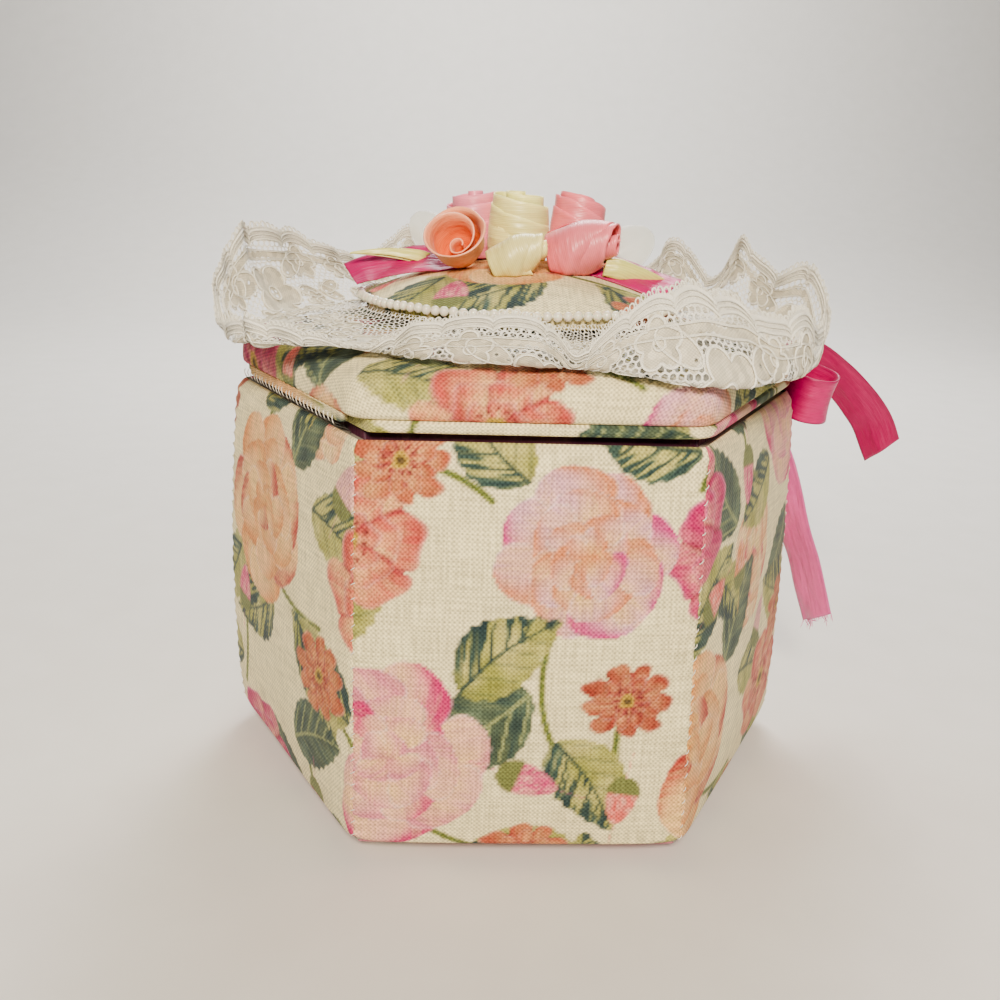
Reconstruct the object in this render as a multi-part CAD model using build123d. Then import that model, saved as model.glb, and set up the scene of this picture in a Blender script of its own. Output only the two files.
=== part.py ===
from build123d import *
import os
from math import atan2, cos, degrees, pi, radians, sin

# A hexagonal keepsake box: card boards under padded cotton, a hinged lid, and on the lid a padded
# medallion with pearls, a gathered lace ruffle, ribbon roses and a ribbon bow.
# Millimetres. The origin is the middle of the foot, +X the right of the front face, -Y the front, +Z up.

# Each facet is named for where it faces, with the direction of its outward normal in degrees.
corner_turn = 60
facet_names = ["rear_right", "rear", "rear_left", "front_left", "front", "front_right"]
facets = {name: corner_turn * i + corner_turn / 2 for i, name in enumerate(facet_names)}
hinge_facet = "front_left"
bow_facet = "rear_right"
apothem_share = cos(radians(corner_turn / 2))

# Base and walls
foot_cover = 1.2        # covered card under the base
base_thickness = 2.0    # base board
foot_side = 75.7        # side of the walls' outer hexagon where they stand
rim_side = 73.0         # the same hexagon at the rim, so the walls lean in a little
wall_height = 94.0      # wall boards
wall_thickness = 2.0    # greyboard of the walls
corner_gap = 0.2        # between neighbouring boards or pads at a corner
foot_cover_inset = 0.4  # the foot's cover stays inside the pads

# Padding on the walls
pad_thickness = 1.5     # cloth and padding over the board at a seam
pad_crown = 3.0         # what the middle of a pad stands above the line between its seams
pad_lip = 0.6           # a pad's top edge above the wall board
pad_shares = [(0, 0.35, 0.1), (0.02, 0.75, 0.25), (0.08, 1, 0.5), (0.25, 1, 0.86), (0.5, 1, 1),
              (0.75, 1, 0.86), (0.92, 1, 0.5), (0.98, 0.75, 0.25), (1, 0.35, 0.1)]
seam_thread = 0.7       # thickness of the sewn seam's thread at a corner
seam_clear = 0.15       # between the thread and the pads beside it

# Lining
lining_thickness = 3.0  # inner board with its satin padding
lining_proud = 2.0      # what the lining stands above the walls, where the lid rests
lining_rounding = 0.8   # rounding of the lining's top edge
floor_thickness = 4.8   # padded floor
floor_rounding = 1.6
lining_clear = 0.3      # round the floor pad, between the linings

# Lid
lid_gap = 0.3           # between the lid and the lining that it rests on
lid_overhang = 1.6      # what the side of the lid's hexagon has over the rim's
underboard_thickness = 2.6
underboard_roll = 1.2   # rounding of the wrapped edge
underboard_setback = 3.0  # what the underboard stays back from the hinge edge
lid_board_thickness = 2.0
lid_board_inset = 2.2   # the lid board inside the padded cover
lid_cover_height = 12.9  # padded cover above the underboard
cover_corner = 7.0      # rounding of the cover's corners
cover_shares = [(0, 0.015), (0.16, 0), (0.4, 0.002), (0.58, 0.02), (0.72, 0.055), (0.84, 0.115),
                (0.93, 0.22), (1, 0.38)]
hinge_skirt = 2.0       # thickness of the cover's cloth that comes down at the hinge
skirt_clear = 0.3       # between that cloth, its stitches and the underboard
skirt_margin = 7.3      # from each end of that cloth to the lid's corner
lid_lining_thickness = 3.2
lid_lining_clear = 0.9  # round the lid's lining, inside the box's lining
lid_lining_rounding = 1.0

# Sewn hinge
hinge_stitches = 24
stitch_thread = 0.5     # thickness of the thread
stitch_height = 2.6     # what a stitch covers of the lid's edge
stitch_lean = 20        # degrees

# Medallion
medallion_share = 0.536  # radius of the medallion, to the lid's side
medallion_thickness = 2.0
dome_overhang = 0.6     # padding over the board's edge
dome_rise = 10.5
dome_wall = 1.6         # straight edge of the dome before it curves
pearl_diameter = 2.3
pearl_pitch = 2.4
pearl_thread = 0.6
pearl_clear = 0.1       # between the pearls and the dome
pearl_lift = 3.4        # of the pearls' centres above the board's underside

# Lace ruffle: it lies on the cover, bends up near the lid's edge and stands as a wavy collar. Each row gives
# the direction in degrees, then the reach and the lift of its bend and of its outer edge, as shares of
# lace_reach past the heading and of lace_lift above the cover.
heading_height = 3.0    # gathered heading, under the medallion
heading_tuck = 14.0     # of the heading inside the medallion's edge
heading_margin = 3.5    # of the heading outside it
lace_reach_share = 0.49  # furthest reach of the outer edge past the heading, to the lid's side
lace_lift = 24.0        # highest fold above the lid cover
lace_thickness = 0.9
lace_stations = 120
lace_join = 0.6         # degrees between the strip's two ends, at the back
lace_rest = 0.35        # of the lace above the lid cover
lace_rest_share = 0.55  # place of the last point that rests on the cover, from heading to bend
lace_shares = [
    (0, 0.7, -0.09, 0.86, 0.79), (6, 0.56, -0.01, 0.75, 0.58), (12, 0.48, 0.04, 0.67, 0.71),
    (17, 0.4, 0.08, 0.59, 0.98), (29, 0.42, 0.04, 0.63, 0.42), (42, 0.37, 0.08, 0.59, 0.86),
    (55, 0.42, 0.04, 0.68, 0.36), (68, 0.37, 0.08, 0.59, 0.84), (82, 0.42, 0.04, 0.68, 0.33),
    (95, 0.34, 0.08, 0.57, 0.8), (108, 0.42, 0.04, 0.68, 0.35), (120, 0.37, 0.08, 0.61, 0.9),
    (133, 0.42, 0.04, 0.7, 0.38), (146, 0.37, 0.08, 0.63, 0.88), (158, 0.48, 0.04, 0.79, 0.46),
    (171, 0.62, -0.02, 0.88, 0.97), (181, 0.75, -0.09, 1, 0.5), (188, 0.81, -0.19, 0.98, 0),
    (199, 0.84, -0.17, 0.89, 0.08), (211, 0.78, -0.11, 0.84, 0.23), (222, 0.7, -0.04, 0.73, 0.17),
    (232, 0.62, 0, 0.66, 0.08), (238, 0.56, -0.01, 0.6, 0.05), (243, 0.56, -0.03, 0.58, 0.22),
    (248, 0.55, -0.04, 0.56, 0.32), (254, 0.53, -0.05, 0.55, 0.4), (263, 0.53, -0.05, 0.55, 0.45),
    (270, 0.52, -0.07, 0.52, 0.42), (274, 0.49, -0.08, 0.51, 0.29), (277, 0.49, -0.08, 0.58, 0),
    (281, 0.53, -0.08, 0.58, 0.12), (287, 0.66, -0.09, 0.59, 0.42), (292, 0.78, -0.13, 0.59, 0.58),
    (298, 0.86, -0.18, 0.59, 0.62), (306, 0.9, -0.22, 0.66, 0.52), (314, 0.9, -0.2, 0.78, 0.42),
    (322, 0.88, -0.24, 0.86, 0.5), (329, 0.84, -0.25, 0.92, 0.25), (336, 0.84, -0.27, 0.89, 0.42),
    (343, 0.84, -0.28, 0.9, -0.12), (350, 0.81, -0.25, 0.97, 0.02), (355, 0.77, -0.18, 1, 0.4)]

# Ribbon roses. Each row gives the place of the flower's middle as shares of the medallion's radius and of
# the dome's rise above its foot, the lean from upright and its direction in degrees, and the size as
# shares of rose_radius.
rose_radius = 8.2
rose_wall = 1.1         # thickness of the rolled ribbon
rose_core = 1.5         # radius where the roll starts
rose_turns = 2.25
rose_stub_share = 0.45  # narrow foot of a rose
rose_cup_share = 0.42   # height of the closed cup
rose_flare_share = 0.82  # width of the roll at its foot, to its mouth
rose_steps = 12         # sides in one turn of the roll
dome_rest = 0.2         # of the flowers above the dome
rose_shares = {
    "rose_peach": (-0.472, -0.268, 1.425, 50, 250, 1, 1.5),
    "rose_pink": (-0.325, 0.34, 1.75, 8, 120, 0.9, 2.2),
    "rose_yellow": (-0.03, 0.06, 1.83, 3, 270, 1, 2.1),
    "rose_coral": (0.38, 0.3, 1.72, 8, 60, 0.9, 2.2),
    "rose_salmon": (0.37, -0.33, 1.37, 76, 345, 0.85, 2.1),
    "bud_cream": (-0.045, -0.44, 1.26, 50, 275, 0.78, 1.3),
}

# Folded leaves: foot and tip as shares of the medallion's radius, heights as shares of the dome's rise,
# then the width as a share of leaf_width. A leaf's sections are places along it and their widths.
leaf_thickness = 1.6
leaf_width = 8.0
leaf_section_shares = [(0, 0.6), (0.3, 1), (0.65, 0.66), (1, 0.06)]
leaf_shares = {
    "leaf_left": ((-0.6, -0.03, 1.08), (-1.13, -0.1, 1.12), 0.9),
    "leaf_right": ((0.62, -0.28, 0.9), (1, -0.2, 0.92), 0.9),
    "organza_leaf_left": ((-0.46, 0.14, 0.84), (-0.78, 0.3, 2), 1.1),
    "organza_leaf_right": ((0.6, 0.06, 0.72), (0.92, 0.12, 1.75), 1.3),
}

# Ribbons
ribbon_width = 12.7
ribbon_thickness = 0.6
streamer_width = 9.0
streamer_tilt = 18      # degrees
left_streamer_shares = [(-0.56, -0.08, 0.905), (-0.7, -0.08, 0.89), (-0.86, -0.08, 0.84),
                        (-1.02, -0.08, 0.72), (-1.18, -0.07, 0.52)]
right_streamer_shares = [(0.46, -0.2, 0.97), (0.66, -0.28, 0.75), (0.86, -0.34, 0.52),
                         (1.03, -0.39, 0.48), (1.13, -0.42, 0.4)]

# Bow, in the facet's own directions: along it, outward from the lid's edge, and up from the lid's underside
knot_width = 9.0
knot_depth = 6.0
knot_height = 7.5
knot_rounding = 2.2
knot_clear = 0.2        # between the knot and the lid's edge
loop_reach = 44.0
loop_radius = 6.5
loop_foot_radius = 1.6
loop_out = 8.0          # outward from the lid's edge to the middle of a loop's end
loop_sag = 8.0          # the loop's end hangs below the knot
light_tail_shares = [(0.1, 0.07, 0.3), (0.11, 0.32, -0.5), (0.3, 0.4, -1.5), (0.6, 0.42, -2.6),
                     (0.76, 0.7, -4.4), (0.88, 1.35, -6.2), (0.96, 1.9, -7.6)]
dark_tail_shares = [(0.02, 0.05, 0.6), (0.03, 0.7, 0.75), (0.14, 1.7, 0.7), (0.32, 2.95, 0.45),
                    (0.48, 4.1, -0.35), (0.62, 5.2, -1.6), (0.7, 5.8, -2.9)]

# Heights and sizes that follow from those above
wall_foot = foot_cover + base_thickness
rim_height = wall_foot + wall_height
rest_height = rim_height + lining_proud
lid_foot = rest_height + lid_gap
cover_foot = lid_foot + underboard_thickness
cover_top = cover_foot + lid_cover_height
medallion_foot = cover_top + heading_height
dome_foot = medallion_foot + medallion_thickness
lip_height = rim_height + pad_lip
lid_side = rim_side + lid_overhang
lid_edge = lid_side * apothem_share
skirt_length = lid_side - 2 * skirt_margin
medallion_radius = lid_side * medallion_share
lace_inner = medallion_radius - heading_tuck
lace_heading = medallion_radius + heading_margin
lace_reach = lid_side * lace_reach_share
hinge_height = (lip_height + lid_foot) / 2
dome_radius = medallion_radius + dome_overhang
dome_cap = dome_rise - dome_wall
ball_radius = (dome_radius ** 2 + dome_cap ** 2) / (2 * dome_cap)
ball_height = dome_foot + dome_rise - ball_radius


def wall_side(z):
    """Side of the walls' outer hexagon at a height."""
    return foot_side + (rim_side - foot_side) * (z - wall_foot) / wall_height


def side_inside(side, inset):
    """Side of a hexagon whose edges lie an inset inside another's."""
    return side - inset / apothem_share


def pad_level(row):
    """Height of a pad's section, with what its seams and its middle stand out from the middle of the box."""
    height, edge, crown = row
    z = foot_cover + (lip_height - foot_cover) * height
    seam = wall_side(z) * apothem_share + pad_thickness * edge
    return z, seam, seam + pad_crown * crown


stitch_foot, _, lip_reach = pad_level(pad_shares[-2])
hinge_reach = lip_reach + seam_clear + stitch_thread / 2


def at_facet(shape, facet):
    """Turn a shape made at the facet that faces +Y to a named facet."""
    return Rot(Z=facets[facet] - facets["rear"]) * shape


def hexagon(side, z, corner=0):
    """A hexagon with a facet to the front, its corners rounded if asked."""
    face = Pos(Z=z) * RegularPolygon(side, 6)
    return fillet(face.vertices(), corner) if corner else face


def flat_face(points, z):
    return make_face(Polyline(*[(x, y, z) for x, y in points], close=True))


def plate(side, z, height, rounding=0):
    """A hexagonal plate, its upper and lower edges rounded if asked."""
    solid = extrude(hexagon(side, z), height)
    if rounding:
        solid = fillet(solid.edges().filter_by(Axis.Z), rounding)
        solid = fillet(solid.edges().filter_by(Axis.Z, reverse=True), rounding)
    return solid


def mitred_panel(z_low, z_high, outer, thickness):
    """A leaning panel between two heights, an outer inset and a thickness inward, mitred at its corners."""
    sections = []
    for z in (z_low, z_high):
        sides = [side_inside(wall_side(z), outer), side_inside(wall_side(z), outer + thickness)]
        (x1, y1), (x2, y2) = [(side / 2 - corner_gap / 2, side * apothem_share) for side in sides]
        sections.append(flat_face([(-x1, y1), (x1, y1), (x2, y2), (-x2, y2)], z))
    return loft(sections, ruled=True)


def wall_pad():
    """Padding on one wall: flat on the board, crowned outside, drawn in at the seams, foot and rim."""
    sections = []
    for row in pad_shares:
        z, y_seam, y_crown = pad_level(row)
        x_board, y_board = wall_side(z) / 2 - corner_gap / 2, wall_side(z) * apothem_share
        x_seam = y_seam / apothem_share / 2 - corner_gap / 2
        a, b = (-x_board, y_board, z), (x_board, y_board, z)
        c, d = (x_seam, y_seam, z), (-x_seam, y_seam, z)
        top = (0, y_crown, z)
        sections.append(make_face([Line(a, b), Line(b, c), ThreePointArc(c, top, d), Line(d, a)]))
    return loft(sections, ruled=True)


def seam_thread_rod():
    """The thread at the corner between two facets, along the pads' seam."""
    half = seam_thread / 2
    square = [(-half, -half), (half, -half), (half, half), (-half, half)]
    sections = []
    for row in pad_shares[2:-2]:
        z, y_seam, _ = pad_level(row)
        reach = y_seam / apothem_share + seam_clear + half
        sections.append(flat_face([(x, reach + y) for x, y in square], z))
    return Rot(Z=-corner_turn / 2) * loft(sections, ruled=True)


def lid_cover():
    """The padded cover: rounded hexagons that draw in to a flat crown, hollowed for the lid board."""
    sections = [hexagon(lid_side * (1 - draw), cover_foot + lid_cover_height * height, cover_corner * (1 - draw))
                for height, draw in cover_shares]
    pad = loft(sections, ruled=True)
    pocket = extrude(hexagon(side_inside(lid_side, lid_board_inset), cover_foot), lid_board_thickness)
    skirt_y = lid_edge - skirt_clear - hinge_skirt / 2
    skirt_height = underboard_thickness - skirt_clear
    skirt = Pos(0, skirt_y, cover_foot - skirt_height / 2) * Box(skirt_length, hinge_skirt, skirt_height)
    return (pad - pocket) + at_facet(skirt, hinge_facet)


def lid_underboard():
    """The wrapped lower board, cut back along the hinge."""
    board = plate(lid_side, lid_foot, underboard_thickness, underboard_roll)
    cut_y = lid_edge - underboard_setback
    cutter = Pos(0, cut_y + lid_side / 2, lid_foot) * Box(2 * lid_side, lid_side, lid_side)
    return board - at_facet(cutter, hinge_facet)


def stitch_row(y, z_low, height):
    """A row of leaning stitches in front of a facet."""
    pitch = skirt_length / hinge_stitches
    row = []
    for i in range(hinge_stitches):
        x = (i + 0.5) * pitch - skirt_length / 2
        stitch = Rot(Y=stitch_lean) * Box(stitch_thread, stitch_thread, height)
        row.append(at_facet(Pos(x, y, z_low + height / 2) * stitch, hinge_facet))
    return Compound(children=row)


def dome_ball(extra=0):
    """The ball whose cap is the dome, its poles turned to the sides, or the same grown all over."""
    return Pos(Z=ball_height) * Rot(X=90) * Sphere(ball_radius + extra)


def dome():
    """The padded dome: a ball's cap over a short straight edge."""
    block = Pos(Z=dome_foot + dome_rise / 2) * Cylinder(dome_radius, dome_rise)
    return block & dome_ball()


def pearl_string():
    """Pearls moulded on their thread, in a ring round the dome."""
    ring = dome_radius + pearl_clear + pearl_diameter / 2
    count = round(2 * pi * ring / pearl_pitch)
    z = medallion_foot + pearl_lift
    pearls = [Rot(Z=360 * i / count) * Pos(ring, 0, z) * Sphere(pearl_diameter / 2) for i in range(count)]
    return Pos(Z=z) * Torus(ring, pearl_thread / 2) + pearls


def eased(angle):
    """The ruffle's row in a direction, eased from one row of the table to the next."""
    rows = lace_shares + [(lace_shares[0][0] + 360,) + lace_shares[0][1:]]
    for before, after in zip(rows, rows[1:]):
        if before[0] <= angle <= after[0]:
            t = (1 - cos(pi * (angle - before[0]) / (after[0] - before[0]))) / 2
            return [a + (b - a) * t for a, b in zip(before[1:], after[1:])]
    return list(lace_shares[0][1:])


def beside(line, distance):
    """A line's points moved to its left, each square to the line there."""
    moved = []
    for (x1, y1), (x, y), (x2, y2) in zip(line[:1] + line, line, line[1:] + line[-1:]):
        turn = atan2(y2 - y1, x2 - x1)
        moved.append((x - distance * sin(turn), y + distance * cos(turn)))
    return moved


def lace_ruffle():
    """The gathered strip: a thick heading, then a thin skirt in folds, lofted round the medallion."""
    sections = []
    z_top = cover_top + heading_height
    for i in range(lace_stations + 1):
        turn = facets["rear"] + lace_join / 2 + (360 - lace_join) * i / lace_stations
        bend_reach, bend_lift, edge_reach, edge_lift = eased(turn % 360)
        line = [(lace_heading + lace_reach * bend_reach * lace_rest_share, cover_top + lace_rest),
                (lace_heading + lace_reach * bend_reach, cover_top + lace_lift * bend_lift),
                (lace_heading + lace_reach * edge_reach, cover_top + lace_lift * edge_lift)]
        outline = [(lace_inner, cover_top), (lace_heading, cover_top)] + line
        outline += beside(line, lace_thickness)[::-1] + [(lace_heading, z_top), (lace_inner, z_top)]
        c, s = cos(radians(turn)), sin(radians(turn))
        sections.append(make_face(Polyline(*[(r * c, r * s, z) for r, z in outline], close=True)))
    return loft(sections, ruled=True)


def on_medallion(x_share, y_share, z_share):
    """A place given as shares of the medallion's radius and of the dome's rise above its foot."""
    return Vector(medallion_radius * x_share, medallion_radius * y_share, dome_foot + dome_rise * z_share)


def leaning_plane(centre, lean, toward):
    """A plane whose normal leans from upright in a direction."""
    a, b = radians(lean), radians(toward)
    normal = Vector(sin(a) * cos(b), sin(a) * sin(b), cos(a))
    return Plane(origin=centre, x_dir=Vector(-sin(b), cos(b), 0), z_dir=normal)


def ribbon_rose(x_share, y_share, z_share, lean, toward, radius_share, height_share):
    """A closed cup and, on it, ribbon rolled in a spiral; its foot is cut to the dome that carries it."""
    radius, height = rose_radius * radius_share, rose_radius * height_share
    cup, flare = height * rose_cup_share, rose_flare_share
    count = round(rose_turns * rose_steps)
    spiral = []
    for i in range(count + 1):
        spiral.append((radius - (radius - rose_core - rose_wall) * i / count, 2 * pi * i / rose_steps))
    outline = [(r * cos(a), r * sin(a)) for r, a in spiral]
    outline += [((r - rose_wall) * cos(a), (r - rose_wall) * sin(a)) for r, a in reversed(spiral)]
    roll = loft([flat_face([(x * flare, y * flare) for x, y in outline], cup / 2), flat_face(outline, height)],
                ruled=True)
    foot = Pos(Z=cup / 2) * Cone(radius * rose_stub_share, (radius - rose_wall / 2) * flare, cup)
    flower = Pos(Z=-height / 2) * (roll + foot)
    place = leaning_plane(on_medallion(x_share, y_share, z_share), lean, toward)
    return place.location * flower - dome_ball(dome_rest)


def strip(points, across, width, thickness):
    """A ribbon through points: thin cross sections square to its run, lofted straight from one to the next."""
    sections = []
    for before, point, after in zip(points[:1] + points, points, points[1:] + points[-1:]):
        run = (after - before).normalized()
        side = (across - run * across.dot(run)).normalized()
        up = run.cross(side)
        w, t = side * (width / 2), up * (thickness / 2)
        corners = [point - w - t, point + w - t, point + w + t, point - w + t]
        sections.append(make_face(Polyline(*corners, close=True)))
    return loft(sections, ruled=True)


def ribbon_leaf(foot, tip, width_share):
    """A folded leaf: widest near its foot, drawn to a point, a lens in section."""
    foot, tip = on_medallion(*foot), on_medallion(*tip)
    run = (tip - foot).normalized()
    side = run.cross(Vector(0, 0, 1)).normalized()
    up = side.cross(run)
    sections = []
    for along, size in leaf_section_shares:
        middle = foot + (tip - foot) * along
        w, t = side * (leaf_width * width_share * size / 2), up * (leaf_thickness * size / 2)
        sections.append(make_face([ThreePointArc(middle - w, middle + t, middle + w),
                                   ThreePointArc(middle + w, middle - t, middle - w)]))
    return loft(sections, ruled=True) - dome_ball(dome_rest)


def streamer(shares):
    tilt = radians(streamer_tilt)
    points = [on_medallion(*row) for row in shares]
    band = strip(points, Vector(0, cos(tilt), sin(tilt)), streamer_width, ribbon_thickness)
    return band - dome_ball(dome_rest)


def bow_knot():
    y = lid_edge + knot_clear + knot_depth / 2
    knot = Box(knot_width, knot_depth, knot_height)
    return at_facet(Pos(0, y, lid_foot + knot_height / 2) * fillet(knot.edges(), knot_rounding), bow_facet)


def bow_loop(side):
    """One loop: a ribbon round two unequal circles, hanging a little from the knot."""
    y_foot = lid_edge + knot_clear + knot_depth / 2
    y_end = lid_edge + loop_out
    x_end = loop_reach - loop_radius
    droop = atan2(loop_sag, x_end - knot_width / 2)
    x_foot = knot_width / 2 + loop_foot_radius + knot_clear + ribbon_width / 2 * sin(droop)

    def outline(inset):
        circles = Sketch() + [Pos(x_foot, y_foot) * Circle(loop_foot_radius - inset),
                              Pos(x_end, y_end) * Circle(loop_radius - inset)]
        return make_hull(circles.edges())

    band = extrude(outline(0) - outline(ribbon_thickness), ribbon_width / 2, both=True)
    hung = Pos(x_foot, 0, lid_foot + knot_height / 2) * Rot(Y=degrees(droop)) * Pos(X=-x_foot) * band
    shape = hung if side > 0 else mirror(hung, Plane.YZ)
    return at_facet(shape, bow_facet)


def bow_tail(shares):
    """A free end, through places in loop_reach along the facet and knot_width outward and up."""
    y_knot = lid_edge + knot_clear + knot_depth
    points = [Vector(loop_reach * x, y_knot + knot_width * y, lid_foot + knot_width * z) for x, y, z in shares]
    return at_facet(strip(points, Vector(1, 0, 0), ribbon_width, ribbon_thickness), bow_facet)


def box_pieces():
    pieces = {
        "base_cover": plate(side_inside(wall_side(foot_cover), foot_cover_inset), 0, foot_cover),
        "base_board": extrude(hexagon(wall_side(wall_foot), foot_cover), base_thickness),
    }
    for facet in facets:
        board = mitred_panel(wall_foot, rim_height, 0, wall_thickness)
        lining = mitred_panel(wall_foot, rest_height, wall_thickness, lining_thickness)
        top = lining.faces().sort_by(Axis.Z)[-1].edges().filter_by(Axis.X)
        pieces[f"wall_board_{facet}"] = at_facet(board, facet)
        pieces[f"wall_pad_{facet}"] = at_facet(wall_pad(), facet)
        pieces[f"lining_panel_{facet}"] = at_facet(fillet(top, lining_rounding), facet)
    rod = seam_thread_rod()
    pieces["seam_threads"] = Compound(children=[at_facet(rod, facet) for facet in facets])
    inner = wall_thickness + lining_thickness + lining_clear
    floor_side = side_inside(wall_side(wall_foot + floor_thickness), inner)
    floor = extrude(hexagon(floor_side, wall_foot), floor_thickness)
    pieces["floor_pad"] = fillet(floor.faces().sort_by(Axis.Z)[-1].edges(), floor_rounding)
    stitch_length = hinge_height - skirt_clear - stitch_foot
    pieces["hinge_stitches_box"] = stitch_row(hinge_reach, stitch_foot, stitch_length)
    return pieces


def lid_pieces():
    inner = wall_thickness + lining_thickness + lid_lining_clear
    lining_side = side_inside(wall_side(rest_height), inner)
    lining_foot = lid_foot - lid_lining_thickness
    board_side = side_inside(lid_side, lid_board_inset)
    board_middle = medallion_foot + medallion_thickness / 2
    pieces = {
        "lid_underboard": lid_underboard(),
        "lid_board": extrude(hexagon(board_side, cover_foot), lid_board_thickness),
        "lid_cover": lid_cover(),
        "lid_lining": plate(lining_side, lining_foot, lid_lining_thickness, lid_lining_rounding),
        "hinge_stitches_lid": stitch_row(lid_edge + stitch_thread / 2, hinge_height + skirt_clear, stitch_height),
        "medallion_board": Pos(Z=board_middle) * Cylinder(medallion_radius, medallion_thickness),
        "medallion_dome": dome(),
        "pearl_string": pearl_string(),
        "lace_ruffle": lace_ruffle(),
        "streamer_left": streamer(left_streamer_shares),
        "streamer_right": streamer(right_streamer_shares),
        "bow_knot": bow_knot(),
        "bow_loop_front": bow_loop(1),
        "bow_loop_rear": bow_loop(-1),
        "bow_tail_light": bow_tail(light_tail_shares),
        "bow_tail_dark": bow_tail(dark_tail_shares),
    }
    pieces.update({name: ribbon_rose(*row) for name, row in rose_shares.items()})
    pieces.update({name: ribbon_leaf(*row) for name, row in leaf_shares.items()})
    return pieces


os.makedirs("parts", exist_ok=True)
for name, shape in {**box_pieces(), **lid_pieces()}.items():
    export_step(shape, f"parts/{name}.step")
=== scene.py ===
from math import cos, pi, radians, sin, sqrt, tan

import bmesh
import bpy
import numpy as np
from mathutils import Matrix


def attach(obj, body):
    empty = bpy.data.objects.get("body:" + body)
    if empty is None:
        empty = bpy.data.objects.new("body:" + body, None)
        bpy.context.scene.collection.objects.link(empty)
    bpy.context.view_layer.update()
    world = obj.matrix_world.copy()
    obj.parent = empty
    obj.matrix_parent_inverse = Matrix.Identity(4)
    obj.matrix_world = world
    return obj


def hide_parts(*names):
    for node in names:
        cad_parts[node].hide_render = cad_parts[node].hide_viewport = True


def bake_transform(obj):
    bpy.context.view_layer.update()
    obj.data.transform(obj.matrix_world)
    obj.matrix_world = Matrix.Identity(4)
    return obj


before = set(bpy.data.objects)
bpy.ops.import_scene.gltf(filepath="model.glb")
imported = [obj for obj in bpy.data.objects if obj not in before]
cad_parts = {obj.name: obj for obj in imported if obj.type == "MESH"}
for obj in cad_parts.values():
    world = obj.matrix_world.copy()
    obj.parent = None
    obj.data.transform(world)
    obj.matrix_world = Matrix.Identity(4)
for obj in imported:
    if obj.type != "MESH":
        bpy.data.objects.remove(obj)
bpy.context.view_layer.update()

print("keepsake box: frame loaded,", len(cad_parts), "nodes")

mm = 0.001
facets = {"front_left": 210, "front": 270, "front_right": 330, "rear_right": 30, "rear": 90, "rear_left": 150}


# The photograph's viewpoint and a soft studio round a pale floor; lengths of the camera in mm, of the rest in m.
studio = {
    "lens": 36, "sensor": 36,                                     # a phone's main camera, a hand's width away
    "place": (-14.3, -266.3, 150.5),
    "right": (0.99913, -0.02860, 0.03040), "up": (-0.02017, 0.30687, 0.95154), "ahead": (0.03655, 0.95132, -0.30603),
    "floorSize": 3.0, "floorDrop": 0.02, "floorColour": "#E4E1DC", "floorShade": "#DCD9D3",   # the drop is in mm
    "worldColour": "#EEF0F4", "worldStrength": 0.19,
    # place, aim, width, watts, colour
    "lamps": [((-0.03, -0.72, 0.56), (0, 0, 0.07), 0.22, 8.8, "#FFF3E0"),
              ((0.62, -0.30, 0.40), (0, 0, 0.08), 0.40, 0.25, "#F1F4FF"),
              ((-0.62, -0.10, 0.45), (0, 0, 0.08), 0.45, 0.2, "#FFF4EA"),
              ((0.1, 0.50, 0.65), (0, 0, 0.1), 0.45, 4.2, "#FFFFFF"),
              ((0, 0.72, 0.85), (0, 1.30, 0.10), 0.80, 9.0, "#FFFFFF")],
}


# Red, green and blue from 0 to 1, still sRGB.
def fromHex(text):
    return np.array([int(text[i:i + 2], 16) / 255 for i in (1, 3, 5)])


# sRGB to linear: a straight foot, then the power 2.4.
def toLinear(colour):
    colour = np.asarray(colour, float)
    return np.where(colour <= 0.04045, colour / 12.92, ((np.maximum(colour, 0) + 0.055) / 1.055) ** 2.4)


# A socket's colour from sRGB hex.
def hexColour(text):
    return (*toLinear(fromHex(text)), 1.0)


# The camera, the disk lamps (which the camera doesn't see) and the pale world.
def makeStage():
    scene = bpy.context.scene
    lens = bpy.data.cameras.new("photoView")
    lens.lens, lens.sensor_width, lens.clip_start = studio["lens"], studio["sensor"], 0.01
    camera = bpy.data.objects.new("photoView", lens)
    turn = Matrix((studio["right"], studio["up"], [-a for a in studio["ahead"]])).transposed().to_4x4()
    camera.matrix_world = Matrix.Translation([a * mm for a in studio["place"]]) @ turn
    scene.collection.objects.link(camera)
    scene.camera = camera
    for i, (place, aim, width, watts, colour) in enumerate(studio["lamps"]):
        lamp = bpy.data.lights.new(f"softbox{i}", "AREA")
        lamp.shape, lamp.size, lamp.energy = "DISK", width, watts
        lamp.color = hexColour(colour)[:3]
        holder = bpy.data.objects.new(f"softbox{i}", lamp)
        holder.visible_camera = False
        ahead = unit(np.subtract(aim, place))
        side = unit(np.cross(ahead, (0, 0, 1)))
        up = np.cross(side, ahead)
        holder.matrix_world = Matrix([[side[r], up[r], -ahead[r], place[r]] for r in range(3)] + [[0, 0, 0, 1]])
        scene.collection.objects.link(holder)
    world = bpy.data.worlds.new("paleRoom")
    world.use_nodes = True
    setSockets(world.node_tree.nodes["Background"],
               {"Color": studio["worldColour"], "Strength": studio["worldStrength"]})
    scene.world = world
    scene.view_settings.look = "AgX - Medium High Contrast"


joinReach = 0.004                                                 # mm; corners nearer than this are one
lattice = np.random.default_rng(7).random((128, 128))


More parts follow.
